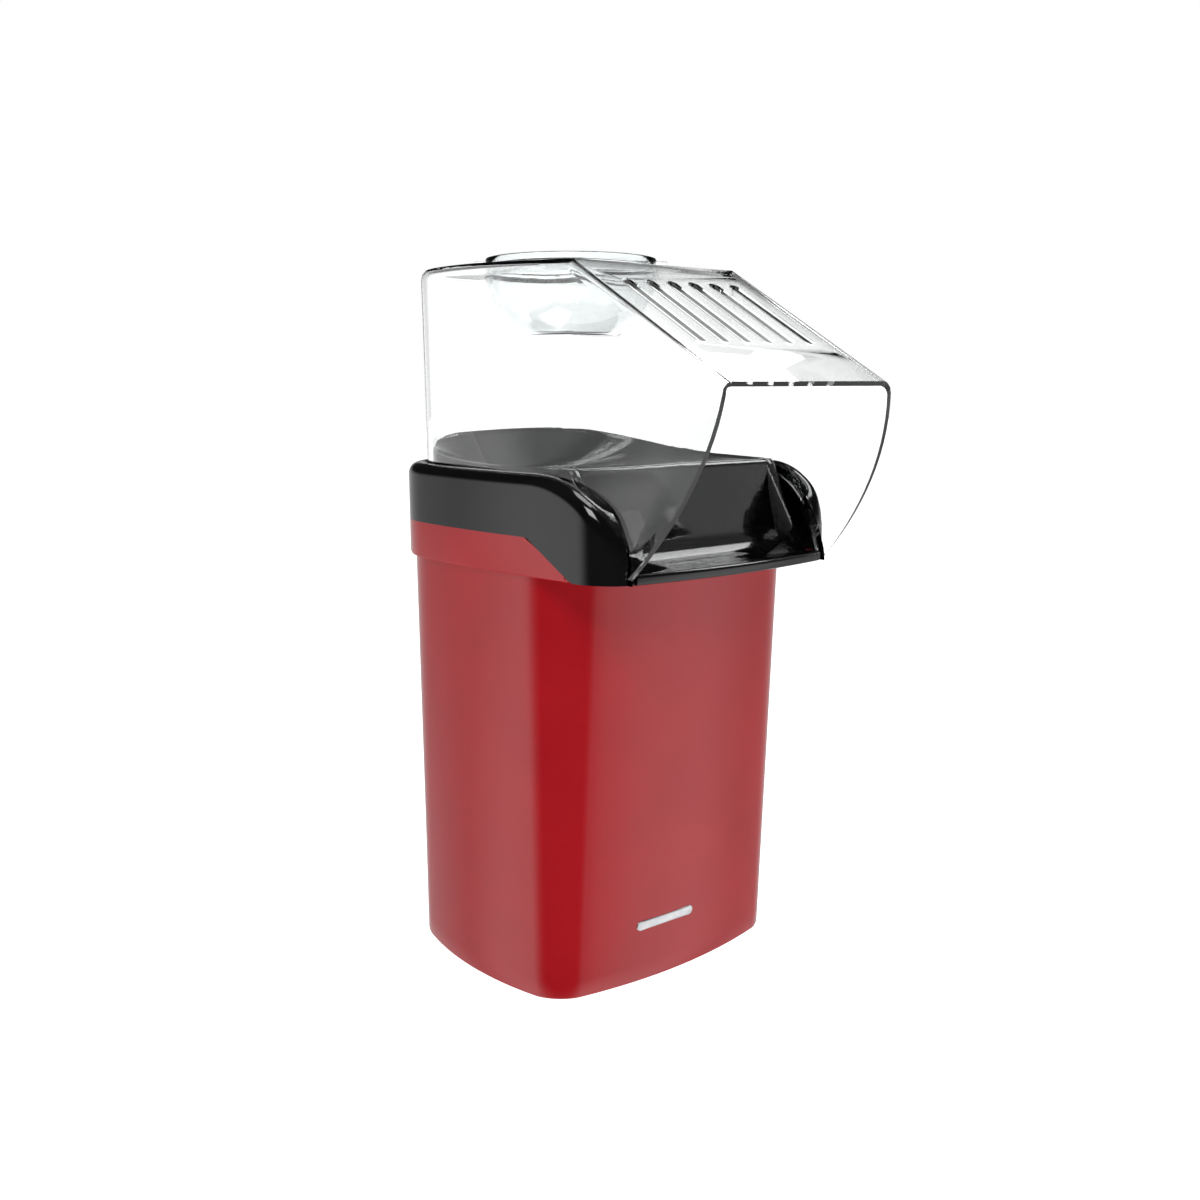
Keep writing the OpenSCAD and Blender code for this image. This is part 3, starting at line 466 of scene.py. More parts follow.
def corner(cx, cy, r, start, steps):
    """A quarter circle of points from a starting angle in degrees."""
    angles = [math.radians(start + 90 * i / steps) for i in range(steps + 1)]
    return [(cx + r * math.cos(a), cy + r * math.sin(a)) for a in angles]


def run(p, q, steps):
    """The points between two points, without either of them."""
    return [(p[0] + (q[0] - p[0]) * i / steps, p[1] + (q[1] - p[1]) * i / steps) for i in range(1, steps)]


def plan(w, front, rear, rf, rr, bow, end_bow, wide):
    """A rounded rectangle, anticlockwise from its right side, whose sides and ends swell outwards."""
    right = corner(w - rr, rear - rr, rr, 0, 14)
    left = corner(rr - w, rear - rr, rr, 90, 14)
    low_left = corner(rf - w, rf - front, rf, 180, 10)
    low_right = corner(w - rf, rf - front, rf, 270, 10)
    loop = (
        right + run(right[-1], left[0], 6) + left + run(left[-1], low_left[0], 14)
        + low_left + run(low_left[-1], low_right[0], 16) + low_right + run(low_right[-1], right[0], 14)
    )
    return [
        (x * (1 - bow * ((y - wide) / 100) ** 2), y * (1 - end_bow * (x / w) ** 2)) for x, y in loop
    ]


def top_plan(inset):
    return plan(73 - inset, 93.5 - inset, 61.8 - inset, max(12 - inset, 3), 40 - inset, 0.14, 0.10, 15)


def dish_plan(inset):
    i = 10.6 + inset
    return plan(73 - i, 93.5 - i, 61.8 - i, 3, 40 - i, 0.20, 0.10, 15)


def base_plan(inset):
    return plan(69.5 - inset, 61.5 - inset, 60 - inset, 12 - inset, 25 - inset, 0.38, 0.13, 0)


def shoulder_plan(inset):
    return plan(71.2 - inset, 67 - inset, 60 - inset, 20 - inset, 40 - inset, 0.14, 0.10, 15)


def low(node):
    """A node's lowest corner in millimetres."""
    return [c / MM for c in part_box(node)[0]]


def high(node):
    """A node's highest corner in millimetres."""
    return [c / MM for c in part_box(node)[1]]


skirt_z = low("housing")[2]
joint_z = high("housing")[2]
collar_z = low("chute")[2]
rim_z = collar_z + 38.5
seat_z = rim_z - 4
roof_z = high("hood")[2]
mouth_front = -low("hood")[1]
cup_top_z = high("measuring_cup")[2]


def section(z, inset=0):
    """Outline of the housing at a height between its skirt and its collar."""
    t = (z - skirt_z) / (collar_z - skirt_z)
    return [
        (a[0] + (b[0] - a[0]) * t, a[1] + (b[1] - a[1]) * t)
        for a, b in zip(base_plan(inset), shoulder_plan(inset))
    ]


def side_x(loop, y):
    """Half width of an outline at y, on its right side from the rear corner to the front."""
    half = [p for p in loop if p[0] > 0 and p[1] < 25]
    half.sort(key=lambda p: p[1])
    return float(np.interp(y, [p[1] for p in half], [p[0] for p in half]))


def front_y(z, x):
    """The housing's front face at a height and a place across it."""
    half = sorted(p for p in section(z) if p[1] < -30 and abs(p[0]) < 55)
    return float(np.interp(x, [p[0] for p in half], [p[1] for p in half]))


# ---- Housing ----


# The rear openings: the switch's case with its clearance, and the middle of the cord's grommet
CASE_HALF = 9.8
CASE_LOW = 54.7
CASE_HIGH = 69.3
CASE_GAP = 0.3
GROMMET_Y = 60
GROMMET_Z = 24


def make_housing():
    """The red shell from its skirt to its shoulder, its two rear openings, and the collar on top."""
    heights = [skirt_z + 1.2] + list(np.linspace(skirt_z + 8, collar_z, 16))
    rows = [[(*p, skirt_z) for p in section(skirt_z, 1.2)]]
    rows.append([(*p, skirt_z + 0.4) for p in section(skirt_z, 0.35)])
    rows += [[(*p, z) for p in section(z)] for z in heights]
    rows.append([(*p, collar_z + 0.3) for p in section(collar_z, 1.0)])
    shell = skin("housing_shell", rows, closed=True)
    apply_modifier(shell, "SOLIDIFY", thickness=2.5 * MM, offset=-1)
    rear = high("switch_body")[1]
    half = CASE_HALF + CASE_GAP
    cut(shell, block("tool", (-half, 30, CASE_LOW - CASE_GAP), (half, rear + 20, CASE_HIGH + CASE_GAP)))
    # Hole for the cord's grommet
    clear_pick()
    bpy.ops.mesh.primitive_cylinder_add(
        vertices=48, radius=5.6 * MM, depth=40 * MM,
        location=(0, GROMMET_Y * MM, GROMMET_Z * MM), rotation=(math.pi / 2, 0, 0),
    )
    cut(shell, settle(bpy.context.object))
    collar = make_collar()
    piece = join("red_housing", [shell, collar])
    return smooth(piece, 35)


def collar_top(y):
    """Height of the red collar: level, then down a ramp to the shoulder."""
    return float(np.interp(y, [-70, -48], [collar_z, joint_z]))


def make_collar():
    """The step above the housing's wall, which the black top sits on."""
    outer, inner = top_plan(0), top_plan(2.6)
    middle, lip = top_plan(0.35), top_plan(1.2)
    start = [i for i, p in enumerate(outer) if p[1] < -69.0]
    order = list(range(start[-1] + 1, len(outer))) + list(range(0, start[0]))
    rows = []
    for ring, level in ((inner, 0.0), (lip, 0.0), (middle, 0.35), (outer, 1.2), (outer, None), (inner, None)):
        row = []
        for i in order:
            x, y = ring[i]
            top = collar_top(outer[i][1])
            row.append((x, y, top if level is None else min(collar_z + level, top)))
        rows.append(row)
    rows.append(rows[0])
    piece = skin("collar", rows)
    fill_holes(piece)
    return weld(piece)


# ---- Black top: rim, funnel, slide, cheeks and lip ----

# Where the rim starts to fall towards the lip, how far it falls forwards and down, and where it ends
FALL_Y = -48.5
FALL_LEN = 41
FALL_END_X = 51.5
RISE = 38.5
# Height of the funnel's edge over the rim beside the slide and at the rear
CREST_LOW = 1.2
CREST = 12
SLIDE_HALF = 49
SLIDE_Y = -56.0
CHAMBER_R = 34.5


# Points of an outline's loop past this one lie on its right side
RIGHT_RUN = 80


def rim_stations():
    """Stations along the rim, from the right end of the lip round the rear to the left end. Each is the
    place in the outline loop where the rim is level, or the angle of its fall."""
    outer = top_plan(0)
    level = [i for i, p in enumerate(outer) if p[1] >= FALL_Y]
    order = [i for i in level if i > RIGHT_RUN] + [i for i in level if i <= RIGHT_RUN]
    falls = list(np.linspace(90, 0, 25))
    right, left = [("right", a) for a in falls], [("left", a) for a in reversed(falls)]
    return right + [("loop", i) for i in order] + left


def rim_point(station, inset, drop):
    """A point of the rim's section: inset from the outer wall and dropped below the rim's outline."""
    kind, where = station
    if kind == "loop":
        x, y = top_plan(inset)[where]
        return (x, y, rim_z - drop)
    a = math.radians(where)
    y = FALL_Y - (FALL_LEN - drop) * math.sin(a)
    # The fall ends beside the cheek, so its inner surfaces don't run across the slide
    x = max(side_x(top_plan(inset), y), FALL_END_X)
    return (x if kind == "right" else -x, y, collar_z + (RISE - drop) * math.cos(a))


def make_rim():
    """The band round the top: a plain wall, a round bead, and the ledge inside it that the hood stands on."""
    stations = rim_stations()
    bead = 4.6
    quarter = np.radians(np.linspace(0, 90, 9))
    section_points = [(bead * (1 - math.cos(a)), bead * (1 - math.sin(a))) for a in quarter]
    section_points += [(6.2, 0.05), (7.2, 0.3), (7.75, 0.8), (8.0, 1.6), (8.0, 4.0)]
    section_points += [(9.4, 4.0), (10.9, 4.0), (10.9, 6.4), (2.5, 6.4)]
    rows = []
    foot = [rim_point(s, 0, bead) for s in stations]
    rows.append([(x, y, min(z, collar_top(y))) for x, y, z in foot])
    for inset, drop in section_points:
        rows.append([rim_point(s, inset, drop) for s in stations])
    inner = [rim_point(s, 2.5, 6.4) for s in stations]
    rows.append([(x, y, min(z, collar_top(y))) for x, y, z in inner])
    rows.append(rows[0])
    piece = skin("rim", rows)
    weld(piece)
    fill_holes(piece)
    return weld(piece)


def crest_z(y):
    """Height of the funnel's edge: nearly level from the slide, then rising towards the rear."""
    return rim_z + CREST_LOW + (CREST - CREST_LOW) * max(0.0, (y + 57) / 109) ** 4


def dish_edge(inset):
    """The funnel's edge: the dish outline behind the slide, and a straight line along the slide."""
    outer = dish_plan(0)
    ring = dish_plan(inset)
    keep = [i for i, p in enumerate(outer) if p[1] > -54]
    order = [i for i in keep if i > RIGHT_RUN] + [i for i in keep if i <= RIGHT_RUN]
    return [ring[i] for i in order]


def slide_profile():
    """Side view of the slide from its rounded upper edge to the lip, as (y, z) points and a share that
    says how far each point follows the lip's bowed front."""
    top = rim_z + CREST_LOW
    points = [(SLIDE_Y, top, 0)]
    r = 3.0
    for a in np.radians(np.linspace(15, 80, 6)):
        points.append((SLIDE_Y - r * math.sin(a), top - r + r * math.cos(a), 0))
    points += [(-59.7, rim_z - 8, 0), (-60.8, rim_z - 14, 0), (-61.8, rim_z - 19, 0)]
    bend = 13
    floor = collar_z + 3
    for a in np.radians(np.linspace(8, 88, 12)):
        points.append((-76.5 + bend * math.cos(a), floor + bend - bend * math.sin(a), 0))
    points += [(-82, floor + 0.35, 0.2), (-88, floor + 0.8, 0.75)]
    points += [(-91.5, floor + 1.05, 1), (-92.6, floor + 0.95, 1)]
    points += [(-93.25, floor + 0.55, 1), (-93.5, floor, 1), (-93.5, floor - 1.6, 1), (-93.2, floor - 2.6, 1)]
    points += [(-92.4, collar_z, 1), (-80, collar_z, 0.3), (-64, collar_z, 0)]
    return points


def make_slide(xs):
    """The slide's skin, across its width, with the lip's front bowed like the rim's."""
    rows = []
    for y, z, share in slide_profile():
        rows.append([(x, y * (1 - share * 0.10 * (x / 73) ** 2), z) for x in reversed(xs)])
    return skin("slide", rows)


def make_funnel():
    """The dish that runs down to the chamber, its crest rising at the rear."""
    xs = list(np.linspace(-SLIDE_HALF, SLIDE_HALF, 29))
    edge = [(x, y, crest_z(y)) for x, y in dish_edge(0)]
    left_x, right_x = edge[-1][0], edge[0][0]
    front_xs = [left_x + 1.2, left_x + 3] + xs + [right_x - 3, right_x - 1.2]
    front = [(x, SLIDE_Y) for x in front_xs]
    bands = []
    for inset, drop in ((0, 14.0), (0, 3.0), (0, 1.1), (0.33, 0.33), (1.1, 0.0), (1.9, 0.25), (2.5, 0.9)):
        ring = zip(edge, dish_edge(inset))
        bands.append([(x, y, max(crest_z(top[1]) - drop, seat_z - 1.0)) for top, (x, y) in ring])
    crest = skin("crest", bands)
    first = bands[-1] + [(x, y, rim_z + CREST_LOW) for x, y in front]
    centre = Vector((0, axis_y))
    bottom = rim_z - 6.5
    rows = []
    for s in [0, 0.04, 0.09, 0.16, 0.24, 0.33, 0.43, 0.54, 0.66, 0.78, 0.88, 0.95, 1.0]:
        row = []
        for x, y, z in first:
            out = Vector((x, y)) - centre
            mouth = centre + out.normalized() * (CHAMBER_R + 1.5)
            flat = Vector((x, y)).lerp(mouth, s)
            fall = (1 - s) ** (1.5 + 0.5 * min(1.0, max(0.0, (y - SLIDE_Y) / 60)))
            row.append((flat.x, flat.y, bottom + (z - bottom) * fall))
        rows.append(row)
    for inset, drop in ((0.75, 0.2), (0.2, 0.75), (0, 1.5), (0, 5), (0, 8.9)):
        row = []
        for x, y, z in first:
            out = (Vector((x, y)) - centre).normalized() * (CHAMBER_R + inset)
            row.append((centre.x + out.x, centre.y + out.y, bottom - drop))
        rows.append(row)
    bowl = skin("bowl", rows, closed=True)
    slide = make_slide(xs)
    piece = join("funnel", [crest, bowl, slide])
    weld(piece, gap=0.05)
    apply_modifier(piece, "SOLIDIFY", thickness=1.8 * MM, offset=-1)
    return piece


def ridge_z(y):
    """Height of the cheek's ridge beside the slide."""
    return float(np.interp(y, [-82.5, -57], [collar_z, rim_z + CREST_LOW]))


def make_cheek(side):
    """The wall between the slide and the groove for the hood, with a rounded sloping ridge."""
    stations = [-53.5, -56, -57.5] + list(np.linspace(-59.5, -80.6, 12))
    rows = []
    r = 1.3
    for y in stations:
        z = ridge_z(y)
        a, b = SLIDE_HALF - 0.2, side_x(dish_plan(0), y)
        row = [(a, collar_z + 0.4)]
        row += [(a, z - r), (a + 0.3 * r, z - 0.3 * r), (a + r, z)]
        row += [(b - r, z), (b - 0.3 * r, z - 0.3 * r), (b, z - r), (b, collar_z + 0.4)]
        row.append(row[0])
        rows.append([(side * x, y, zz) for x, zz in row])
    piece = skin("cheek", rows)
    weld(piece)
    fill_holes(piece)
    return weld(piece)


def make_lip():
    """The shelf at the ends of the lip, which the hood's lower corners stand on."""
    ring = top_plan(0.25)
    front = sorted(p for p in ring if p[1] < -60 and abs(p[0]) < 58)
    xs = np.linspace(-54, 54, 37)
    rows = []
    for z, back in ((collar_z + 0.05, 0.6), (collar_z + 0.6, 0), (collar_z + 2.0, 0), (collar_z + 2.5, 0.5)):
        edge = [(x, float(np.interp(x, [p[0] for p in front], [p[1] for p in front])) + back, z) for x in xs]
        rows.append([(x, y, z) for x, y, z in edge] + [(54, -66, z), (0, -66, z), (-54, -66, z)])
    piece = skin("lip", rows, closed=True)
    fill_holes(piece)
    return weld(piece)


def make_top():
    """The whole black top in one piece."""
    parts = [make_rim(), make_funnel(), make_cheek(1), make_cheek(-1), make_lip()]
    piece = join("black_funnel_top", parts)
    return smooth(piece, 42)


# ---- Hood ----

# Heights of the hood's foot on the rim's ledge and at the lip, and of its mouth's upper edge
HOOD_FOOT = seat_z + 0.3
HOOD_LOW = collar_z + 2.8
MOUTH_Z = 247
SLOPE_HALF = 39.5
ROOF_FRONT = 43.3
FILLET = 4.5
HOOD_WALL = 2.0
# Stations from the roof's front corner to the mouth
MOUTH_STEPS = 14
CUP_OPENING_R = 36.8
SLOTS = 6
SLOT_PITCH = 11.3
SLOT_R = 2.6
SLOT_RUN = 44.8
SLOT_START = 17.6


def hood_foot_plan(inset=0):
    """Outline of the hood's foot; its front end lies beyond the mouth, so only its sides are used."""
    return plan(64.7 - inset, 93.5 + 20, 53.5 - inset, 3, 31.7 - inset, 0.17, 0.10, 15)


def roof_plan(back):
    """Outline of the hood's wall under its roof; back is the step in from the wall to the roof."""
    return plan(65.7 - back, ROOF_FRONT + 12, 53.5 - back, 4, 31.7 - back, 0.95, 0, 15)


def hood_side():
    """Stations of the hood's wall from the middle of its rear to its mouth, on its right side: each one is
    its foot, the top of its wall and the three steps of the fillet into the roof or the sloping panel."""
    steps = [FILLET * (1 - math.cos(a)) for a in np.radians([0, 30, 60, 90])]
    drops = [FILLET * (1 - math.sin(a)) for a in np.radians([0, 30, 60, 90])]
    foot = hood_foot_plan()
    roofs = [roof_plan(s) for s in steps]
    n = 14
    rear = list(range(n + 3, n, -1))
    corner_part = list(range(n, -1, -1))
    stations = []
    for i in rear + corner_part:
        if i > n:
            t = (i - n) / 3
            tops = [(roof[n][0] * (1 - t), roof[n][1], roof_z - d) for roof, d in zip(roofs, drops)]
            stations.append(((foot[n][0] * (1 - t), foot[n][1], HOOD_FOOT), tops))
        else:
            tops = [(roof[i][0], roof[i][1], roof_z - d) for roof, d in zip(roofs, drops)]
            stations.append(((foot[i][0], foot[i][1], HOOD_FOOT), tops))
    y_foot, y_roof = stations[-1][0][1], stations[-1][1][0][1]
    for t in np.linspace(0, 1, 11)[1:]:
        yf = y_foot + (FALL_Y - y_foot) * t
        yr = y_roof + (-ROOF_FRONT - y_roof) * t
        tops = [(side_x(roof, yr), yr, roof_z - d) for roof, d in zip(roofs, drops)]
        stations.append(((side_x(foot, yf), yf, HOOD_FOOT), tops))
    last = stations[-1]
    for t in np.linspace(0, 1, MOUTH_STEPS + 1)[1:]:
        a = math.radians(90 * min(1.0, t * 1.08))
        drop = 4 - 0.3
        y = FALL_Y - (FALL_LEN - drop) * math.sin(a)
        z = max(collar_z + (RISE - drop) * math.cos(a), HOOD_LOW)
        if t == 1:
            y = -89.0
        x = side_x(foot, y) + (53.5 - side_x(foot, y)) * max(0.0, (t - 0.7) / 0.3) ** 2
        tops = []
        for (x0, y0, z0), s, d in zip(last[1], steps, drops):
            end = (SLOPE_HALF + FILLET - s, -mouth_front, MOUTH_Z - d)
            tops.append((x0 + (end[0] - x0) * t, y0 + (end[1] - y0) * t, z0 + (end[2] - z0) * t))
        stations.append(((x, y, z), tops))
    return stations


def make_hood():
    """The clear hood: its wall and fillet in one skin, its roof and its sloping panel, its cup opening and
    its six vent slots."""
    side = hood_side()
    count = len(side)
    shares = np.linspace(0, 1, 15)
    columns = []
    for k, (foot, tops) in enumerate(side):
        run_out = max(0.0, (k - (count - 1 - MOUTH_STEPS)) / MOUTH_STEPS)
        column = []
        for v in shares:
            x, y, z = (foot[i] + (tops[0][i] - foot[i]) * v for i in range(3))
            y -= 7.2 * 4 * v * (1 - v) * run_out**1.5
            column.append((x, y, z))
        column += tops[1:]
        columns.append(column)
    mirrored = [[(-x, y, z) for x, y, z in column] for column in columns]
    loop = list(reversed(mirrored)) + columns[1:]
    rows = [[column[r] for column in loop] for r in range(len(loop[0]))]
    piece = skin("clear_hood_shell", rows)
    # The roof and the sloping panel are flat faces inside the fillet's upper edge
    pick_only(piece)
    bpy.ops.object.mode_set(mode="EDIT")
    b = bmesh.from_edit_mesh(piece.data)
    b.verts.ensure_lookup_table()
    upper = []
    for p in rows[-1]:
        place = Vector(p) * MM
        upper.append(min(b.verts, key=lambda v: (v.co - place).length_squared))
    fold = [MOUTH_STEPS, 2 * (count - 1) - MOUTH_STEPS]
    roof_ring = upper[fold[0] : fold[1] + 1]
    roof_face = b.faces.new(roof_ring)
    slope_face = b.faces.new(upper[: fold[0] + 1] + upper[fold[1] :])
    for face in b.faces:
        face.select = False
    bmesh.ops.inset_individual(b, faces=[roof_face, slope_face], thickness=1.0 * MM)
    bmesh.update_edit_mesh(piece.data)
    bpy.ops.object.mode_set(mode="OBJECT")
    weld(piece)
    apply_modifier(piece, "SOLIDIFY", thickness=HOOD_WALL * MM, offset=-1, use_even_offset=True)
    # Opening for the measuring cup
    clear_pick()
    bpy.ops.mesh.primitive_cylinder_add(
        vertices=96, radius=CUP_OPENING_R * MM, depth=20 * MM, location=(0, axis_y * MM, roof_z * MM)
    )
    cut(piece, settle(bpy.context.object))
    slope = math.atan2(roof_z - MOUTH_Z, mouth_front - ROOF_FRONT)
    for i in range(SLOTS):
        cut(piece, slot_tool((i - (SLOTS - 1) / 2) * SLOT_PITCH, slope))
    return smooth(piece, 35)


def slot_tool(x, slope):
    """A long rounded slot standing square to the sloping panel."""
    clear_pick()
    bpy.ops.mesh.primitive_cylinder_add(vertices=32, radius=SLOT_R * MM, depth=24 * MM)
    tool = bpy.context.object
    for point in tool.data.vertices:
        if point.co.y < 0:
            point.co.y -= SLOT_RUN * MM
    turn = Matrix.Rotation(slope, 4, "X")
    start = Matrix.Translation(Vector((x, -ROOF_FRONT, roof_z)) * MM)
    shift = Matrix.Translation(Vector((0, -SLOT_START, 0)) * MM)
    tool.data.transform(start @ turn @ shift)
    return tool


# ---- Measuring cup ----


CUP_DEPTH = 26.5
CUP_R = 36.5
CUP_BOTTOM_R = 21


def bowl_arc(inset):
    """The bowl's side: part of a sphere-like curve that ends sharply at the flat bottom."""
    start = math.asin(CUP_BOTTOM_R / CUP_R)
    return [
        ((CUP_R - inset) * math.sin(a), roof_z - (CUP_DEPTH - inset) * math.cos(a) / math.cos(start))
        for a in np.linspace(start, math.pi / 2, 19)
    ]


def make_cup():
    """The clear cup, turned in one piece with its flange and rolled rim, and its two grip lugs."""
    rest = roof_z + 0.1
    wall = 1.6
    bottom = roof_z - CUP_DEPTH
    outside = [(0, bottom), (10, bottom)] + bowl_arc(0)
    flange = [(CUP_R, rest), (39.9, rest), (40.4, rest + 0.4)]
    flange += [(40.5, rest + 0.9), (40.2, rest + 1.4), (39.6, rest + wall)]
    rim = [(36.9, rest + wall), (CUP_R, rest + 2.0), (CUP_R, cup_top_z - 0.6), (36.2, cup_top_z - 0.1)]
    rim += [(35.7, cup_top_z), (35.2, cup_top_z - 0.2), (34.9, cup_top_z - 0.7)]
    inside = list(reversed(bowl_arc(wall))) + [(10, bottom + wall), (0, bottom + wall)]
    piece = turned("clear_measuring_cup", outside + flange + rim + inside, (0, axis_y), 96)
    for turn in (-39, 141):
        lug = block("lug", (36.0, -3, rest + 0.5), (41.0, 3, cup_top_z - 0.9), bevel=0.6)
        lug.data.transform(
            Matrix.Translation((0, axis_y * MM, 0)) @ Matrix.Rotation(math.radians(turn), 4, "Z")
        )
        cut(piece, lug, "UNION")
    return smooth(piece, 40)


# ---- Small pieces ----


def make_badge():
    """A plain oval mark that follows the front of the housing."""
    low_z, high_z = low("badge")[2], high("badge")[2]
    middle_x = (low("badge")[0] + high("badge")[0]) / 2
    half_w = (high("badge")[0] - low("badge")[0]) / 2
    half_h = (high_z - low_z) / 2
    z0 = (low_z + high_z) / 2
    rows = []
    for shrink, lift in ((1.0, 0.02), (0.985, 0.28), (0.93, 0.36), (0.5, 0.36), (0.04, 0.36)):
        row = []
        for k in range(72):
            a = 2 * math.pi * k / 72
            end = (half_w - half_h) * (1 if math.cos(a) > 0 else -1)
            x = middle_x + (end + half_h * math.cos(a)) * shrink
            z = z0 + half_h * math.sin(a) * shrink
            row.append((x, front_y(z, x) - lift, z))
        rows.append(row)
    piece = skin("silver_mark", rows, closed=True)
    fill_holes(piece)
    return smooth(weld(piece), 40)


def make_feet():
    """Four rubber feet, each with a groove in its sole."""
    sole = [(0, 0), (2.6, 0), (2.6, 0.5), (3.4, 0.5), (3.4, 0), (4.9, 0)]
    profile = sole + [(5.4, 0.3), (5.6, 0.8), (6.0, 3.0), (0, 3.0)]
    feet = []
    for sx in (-1, 1):
        for sy in (-1, 1):
            feet.append(turned("foot", profile, (sx * 48, sy * 40), 40))
    return smooth(join("rubber_foot_set", feet), 35)


def make_switch():
    """The switch's bezel, with a rounded rim round the rocker's opening."""
    box_low, box_high = low("switch_body"), high("switch_body")
    bezel = block("bezel", (box_low[0], 60.0, box_low[2]), (box_high[0], box_high[1], box_high[2]), bevel=0.8)
    body = block("switch_case", (-CASE_HALF, box_low[1], CASE_LOW), (CASE_HALF, 60.4, CASE_HIGH), bevel=0.4)
    piece = cut(bezel, body, "UNION")
    cut(piece, block("tool", (-8.5, 52.0, 56.0), (8.5, 70.0, 68.0), bevel=0.5))
    piece.name = "switch_bezel"
    return smooth(weld(piece, gap=0.05), 35)


def make_rocker():
    """The rocker: two dished faces that meet in a soft ridge at its pin."""
    pivot_y, pivot_z = 59.5, 62.0
    half_w, half_h = 7.9, 5.1
    slope = math.radians(9)
    rows = []
    for t in np.linspace(-1, 1, 25):
        z = half_h * t
        rise = half_h * math.tan(slope)
        y = 1 + rise * abs(t) ** 1.35
        row = []
        for s in np.linspace(-1, 1, 13):
            dip = 0.35 * (1 - s * s) * min(1.0, 4 * abs(t)) * (1 - abs(t) ** 6)
            edge = 0.25 * (abs(s) ** 10 + abs(t) ** 10)
            row.append((half_w * s, y - dip - edge, z))
        rows.append(row)
    piece = skin("rocker_key", rows)
    pick_only(piece)
    bpy.ops.object.mode_set(mode="EDIT")
    bpy.ops.mesh.select_all(action="DESELECT")
    bpy.ops.mesh.select_mode(type="EDGE")
    bpy.ops.mesh.select_non_manifold()
    bpy.ops.mesh.extrude_region_move(TRANSFORM_OT_translate={"value": (0, -4.2 * MM, 0)})
    bpy.ops.object.mode_set(mode="OBJECT")
    weld(piece)
    fill_holes(piece)
    weld(piece)
    turn = Matrix.Translation((0, pivot_y * MM, pivot_z * MM)) @ Matrix.Rotation(-slope, 4, "X")
    piece.data.transform(turn)
    clear_pick()
    bpy.ops.mesh.primitive_cylinder_add(
        vertices=32, radius=1.2 * MM, depth=18.6 * MM,
        location=(0, pivot_y * MM, pivot_z * MM), rotation=(0, math.pi / 2, 0),
    )
    pin = settle(bpy.context.object)
    cut(piece, pin, "UNION")
    return smooth(piece, 35)


def make_inlet():
    """The grommet that the mains cord would pass through, with a flared ring outside the wall."""
    bore = [(3.2, -12.0), (3.2, 1.2), (3.6, 1.8), (4.2, 2.0)]
    ring = [(6.4, 2.0), (7.1, 1.6), (7.5, 0.9), (7.5, 0.0), (5.5, 0.0)]
    catch = [(5.5, -2.5), (6.3, -2.7), (6.3, -4.5), (5.5, -4.5), (5.5, -12.0), (3.2, -12.0)]
    profile = bore + ring + catch
    piece = turned("cord_grommet", profile, (0, 0), 64)
    turn = Matrix.Translation((0, GROMMET_Y * MM, GROMMET_Z * MM)) @ Matrix.Rotation(-math.pi / 2, 4, "X")
    piece.data.transform(turn)
    return smooth(piece, 35)


dress(make_housing(), glossy_red_abs, "machine", "red_shell", "housing")
dress(make_top(), glossy_black_abs, "machine", "black_gloss", "chute")
dress(make_hood(), clear_hood, "hood", "clear_hood", "hood")
dress(make_cup(), clear_cup, "cup", "clear_cup", "measuring_cup")
dress(make_badge(), silver_print, "machine", "silver_print", "badge")
dress(make_feet(), natural_rubber, "machine", "rubber", "rubber_feet")
dress(make_switch(), polished_black_nylon, "machine", "black_plain", "switch_body")
dress(make_rocker(), glossy_black_abs, "rocker", "rocker", "switch_rocker")
dress(make_inlet(), polished_black_nylon, "machine", "black_plain", "cord_inlet")

# ---- Studio ----

clear_pick()
bpy.ops.mesh.primitive_plane_add(size=12, location=(0, 0, 0))
floor = bpy.context.object
floor.name = "studio_floor"
floor.visible_glossy = False
white_floor, tree, shader, place = finish("white_floor", Roughness=0.9)
mottle(tree, shader, place, "#d8d8d8", "#d4d4d4", 400)
shader.inputs["Emission Color"].default_value = (1, 1, 1, 1)
# The floor lights the machine from below less strongly than it shows
lit = add(tree, "ShaderNodeLightPath")
floor_glow = add(
    tree, "ShaderNodeMapRange", {"Value": lit.outputs["Is Diffuse Ray"], "To Min": 1.25, "To Max": 0.8}
)
tree.links.new(floor_glow.outputs["Result"], shader.inputs["Emission Strength"])
floor.data.materials.append(white_floor)

world = bpy.data.worlds.new("studio")
scene.world = world
world.use_nodes = True
sky = world.node_tree
for old in list(sky.nodes):
    sky.nodes.remove(old)
direction = add(sky, "ShaderNodeTexCoord").outputs["Generated"]
level = Vector((towards_camera.x, towards_camera.y, 0)).normalized()
away = add(
    sky, "ShaderNodeVectorMath", {0: direction, 1: (-level.x, -level.y, 0.0)}, operation="DOT_PRODUCT"
)
height = add(sky, "ShaderNodeSeparateXYZ", {"Vector": direction})
# Surfaces mirror white walls on both sides of the machine and dimmer ones behind it, up to eye level
wall = add(
    sky, "ShaderNodeMapRange",
    {"Value": away.outputs["Value"], "From Min": -0.75, "From Max": -0.25, "To Min": 0.04, "To Max": 1.3},
    interpolation_type="SMOOTHSTEP",
)
beyond = add(
    sky, "ShaderNodeMapRange",
    {"Value": away.outputs["Value"], "From Min": -0.1, "From Max": 0.25, "To Min": 1.0, "To Max": 0.48},
    interpolation_type="SMOOTHSTEP",
)
walls = add(
    sky, "ShaderNodeMath", {0: wall.outputs["Result"], 1: beyond.outputs["Result"]}, operation="MULTIPLY"
)
upper = add(
    sky, "ShaderNodeMapRange",
    {"Value": height.outputs["Z"], "From Min": -0.05, "From Max": 0.22, "To Min": 1.0, "To Max": 0.04},
    interpolation_type="SMOOTHSTEP",
)
mirrored = add(
    sky, "ShaderNodeMath", {0: walls.outputs["Value"], 1: upper.outputs["Result"]}, operation="MULTIPLY"
)
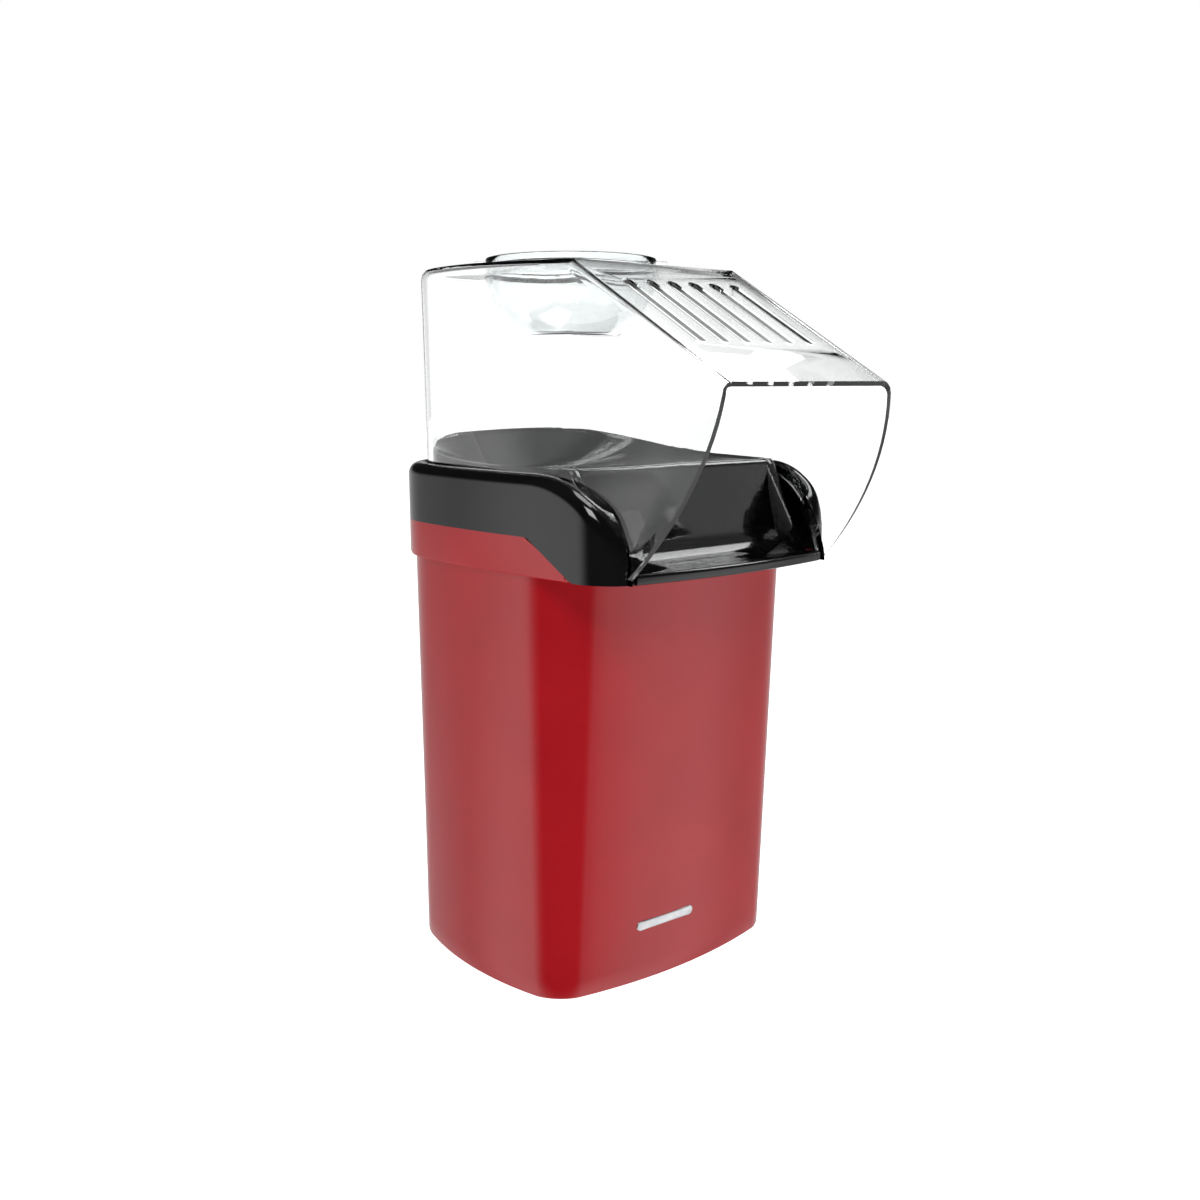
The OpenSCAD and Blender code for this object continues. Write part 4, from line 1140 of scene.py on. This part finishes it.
# Through the clear parts the backdrop is white, and light that their edges bend aside meets grey
backdrop = add(
    sky, "ShaderNodeVectorMath", {0: direction, 1: tuple(-towards_camera)}, operation="DOT_PRODUCT"
)
both_ways = add(sky, "ShaderNodeMath", {0: backdrop.outputs["Value"]}, operation="ABSOLUTE")
through = add(
    sky, "ShaderNodeMapRange",
    {"Value": both_ways.outputs["Value"], "From Min": 0.75, "From Max": 0.93, "To Min": 0.25, "To Max": 1.5},
    interpolation_type="SMOOTHSTEP",
)
# Seen level from any other side, the clear parts have a pale wall behind them as well
slope_up = add(sky, "ShaderNodeMath", {0: height.outputs["Z"]}, operation="ABSOLUTE")
level_wall = add(
    sky, "ShaderNodeMapRange",
    {"Value": slope_up.outputs["Value"], "From Min": 0.25, "From Max": 0.55, "To Min": 0.9, "To Max": 0.2},
    interpolation_type="SMOOTHSTEP",
)
clear = add(
    sky, "ShaderNodeMath", {0: through.outputs["Result"], 1: level_wall.outputs["Result"]},
    operation="MAXIMUM",
)
rays = add(sky, "ShaderNodeLightPath")
by_ray = {"A": mirrored.outputs["Value"], "B": clear.outputs["Value"]}
bent = add(sky, "ShaderNodeMix", {"Factor": rays.outputs["Is Transmission Ray"], **by_ray})
seen = add(
    sky, "ShaderNodeMath", {0: bent.outputs["Result"], 1: rays.outputs["Is Camera Ray"]}, operation="MAXIMUM"
)
glow = add(sky, "ShaderNodeBackground", {"Color": (1, 1, 1, 1), "Strength": seen.outputs["Value"]})
add(sky, "ShaderNodeOutputWorld", {"Surface": glow.outputs["Background"]})


def softbox(name, place, aim, size, power):
    """A soft rectangular light that faces a point."""
    lamp = bpy.data.lights.new(name, "AREA")
    lamp.shape = "RECTANGLE"
    lamp.size, lamp.size_y = size
    lamp.energy = power
    stand = bpy.data.objects.new(name, lamp)
    stand.location = place
    stand.visible_camera = False
    stand.rotation_euler = (Vector(place) - Vector(aim)).to_track_quat("Z", "Y").to_euler()
    scene.collection.objects.link(stand)
    return stand


softbox("overhead", (0.1, -0.2, 1.3), (0, 0, 0.15), (0.7, 0.5), 6)
softbox("key", (-0.66, -0.81, 1.15), (0, 0, 0.12), (0.5, 0.5), 7)
# A strip high on the right, which the slide's trough and the bead's corners mirror as bright bands
softbox("strip", (0.82, 0.05, 1.05), (0, -0.06, 0.19), (0.6, 0.25), 3)
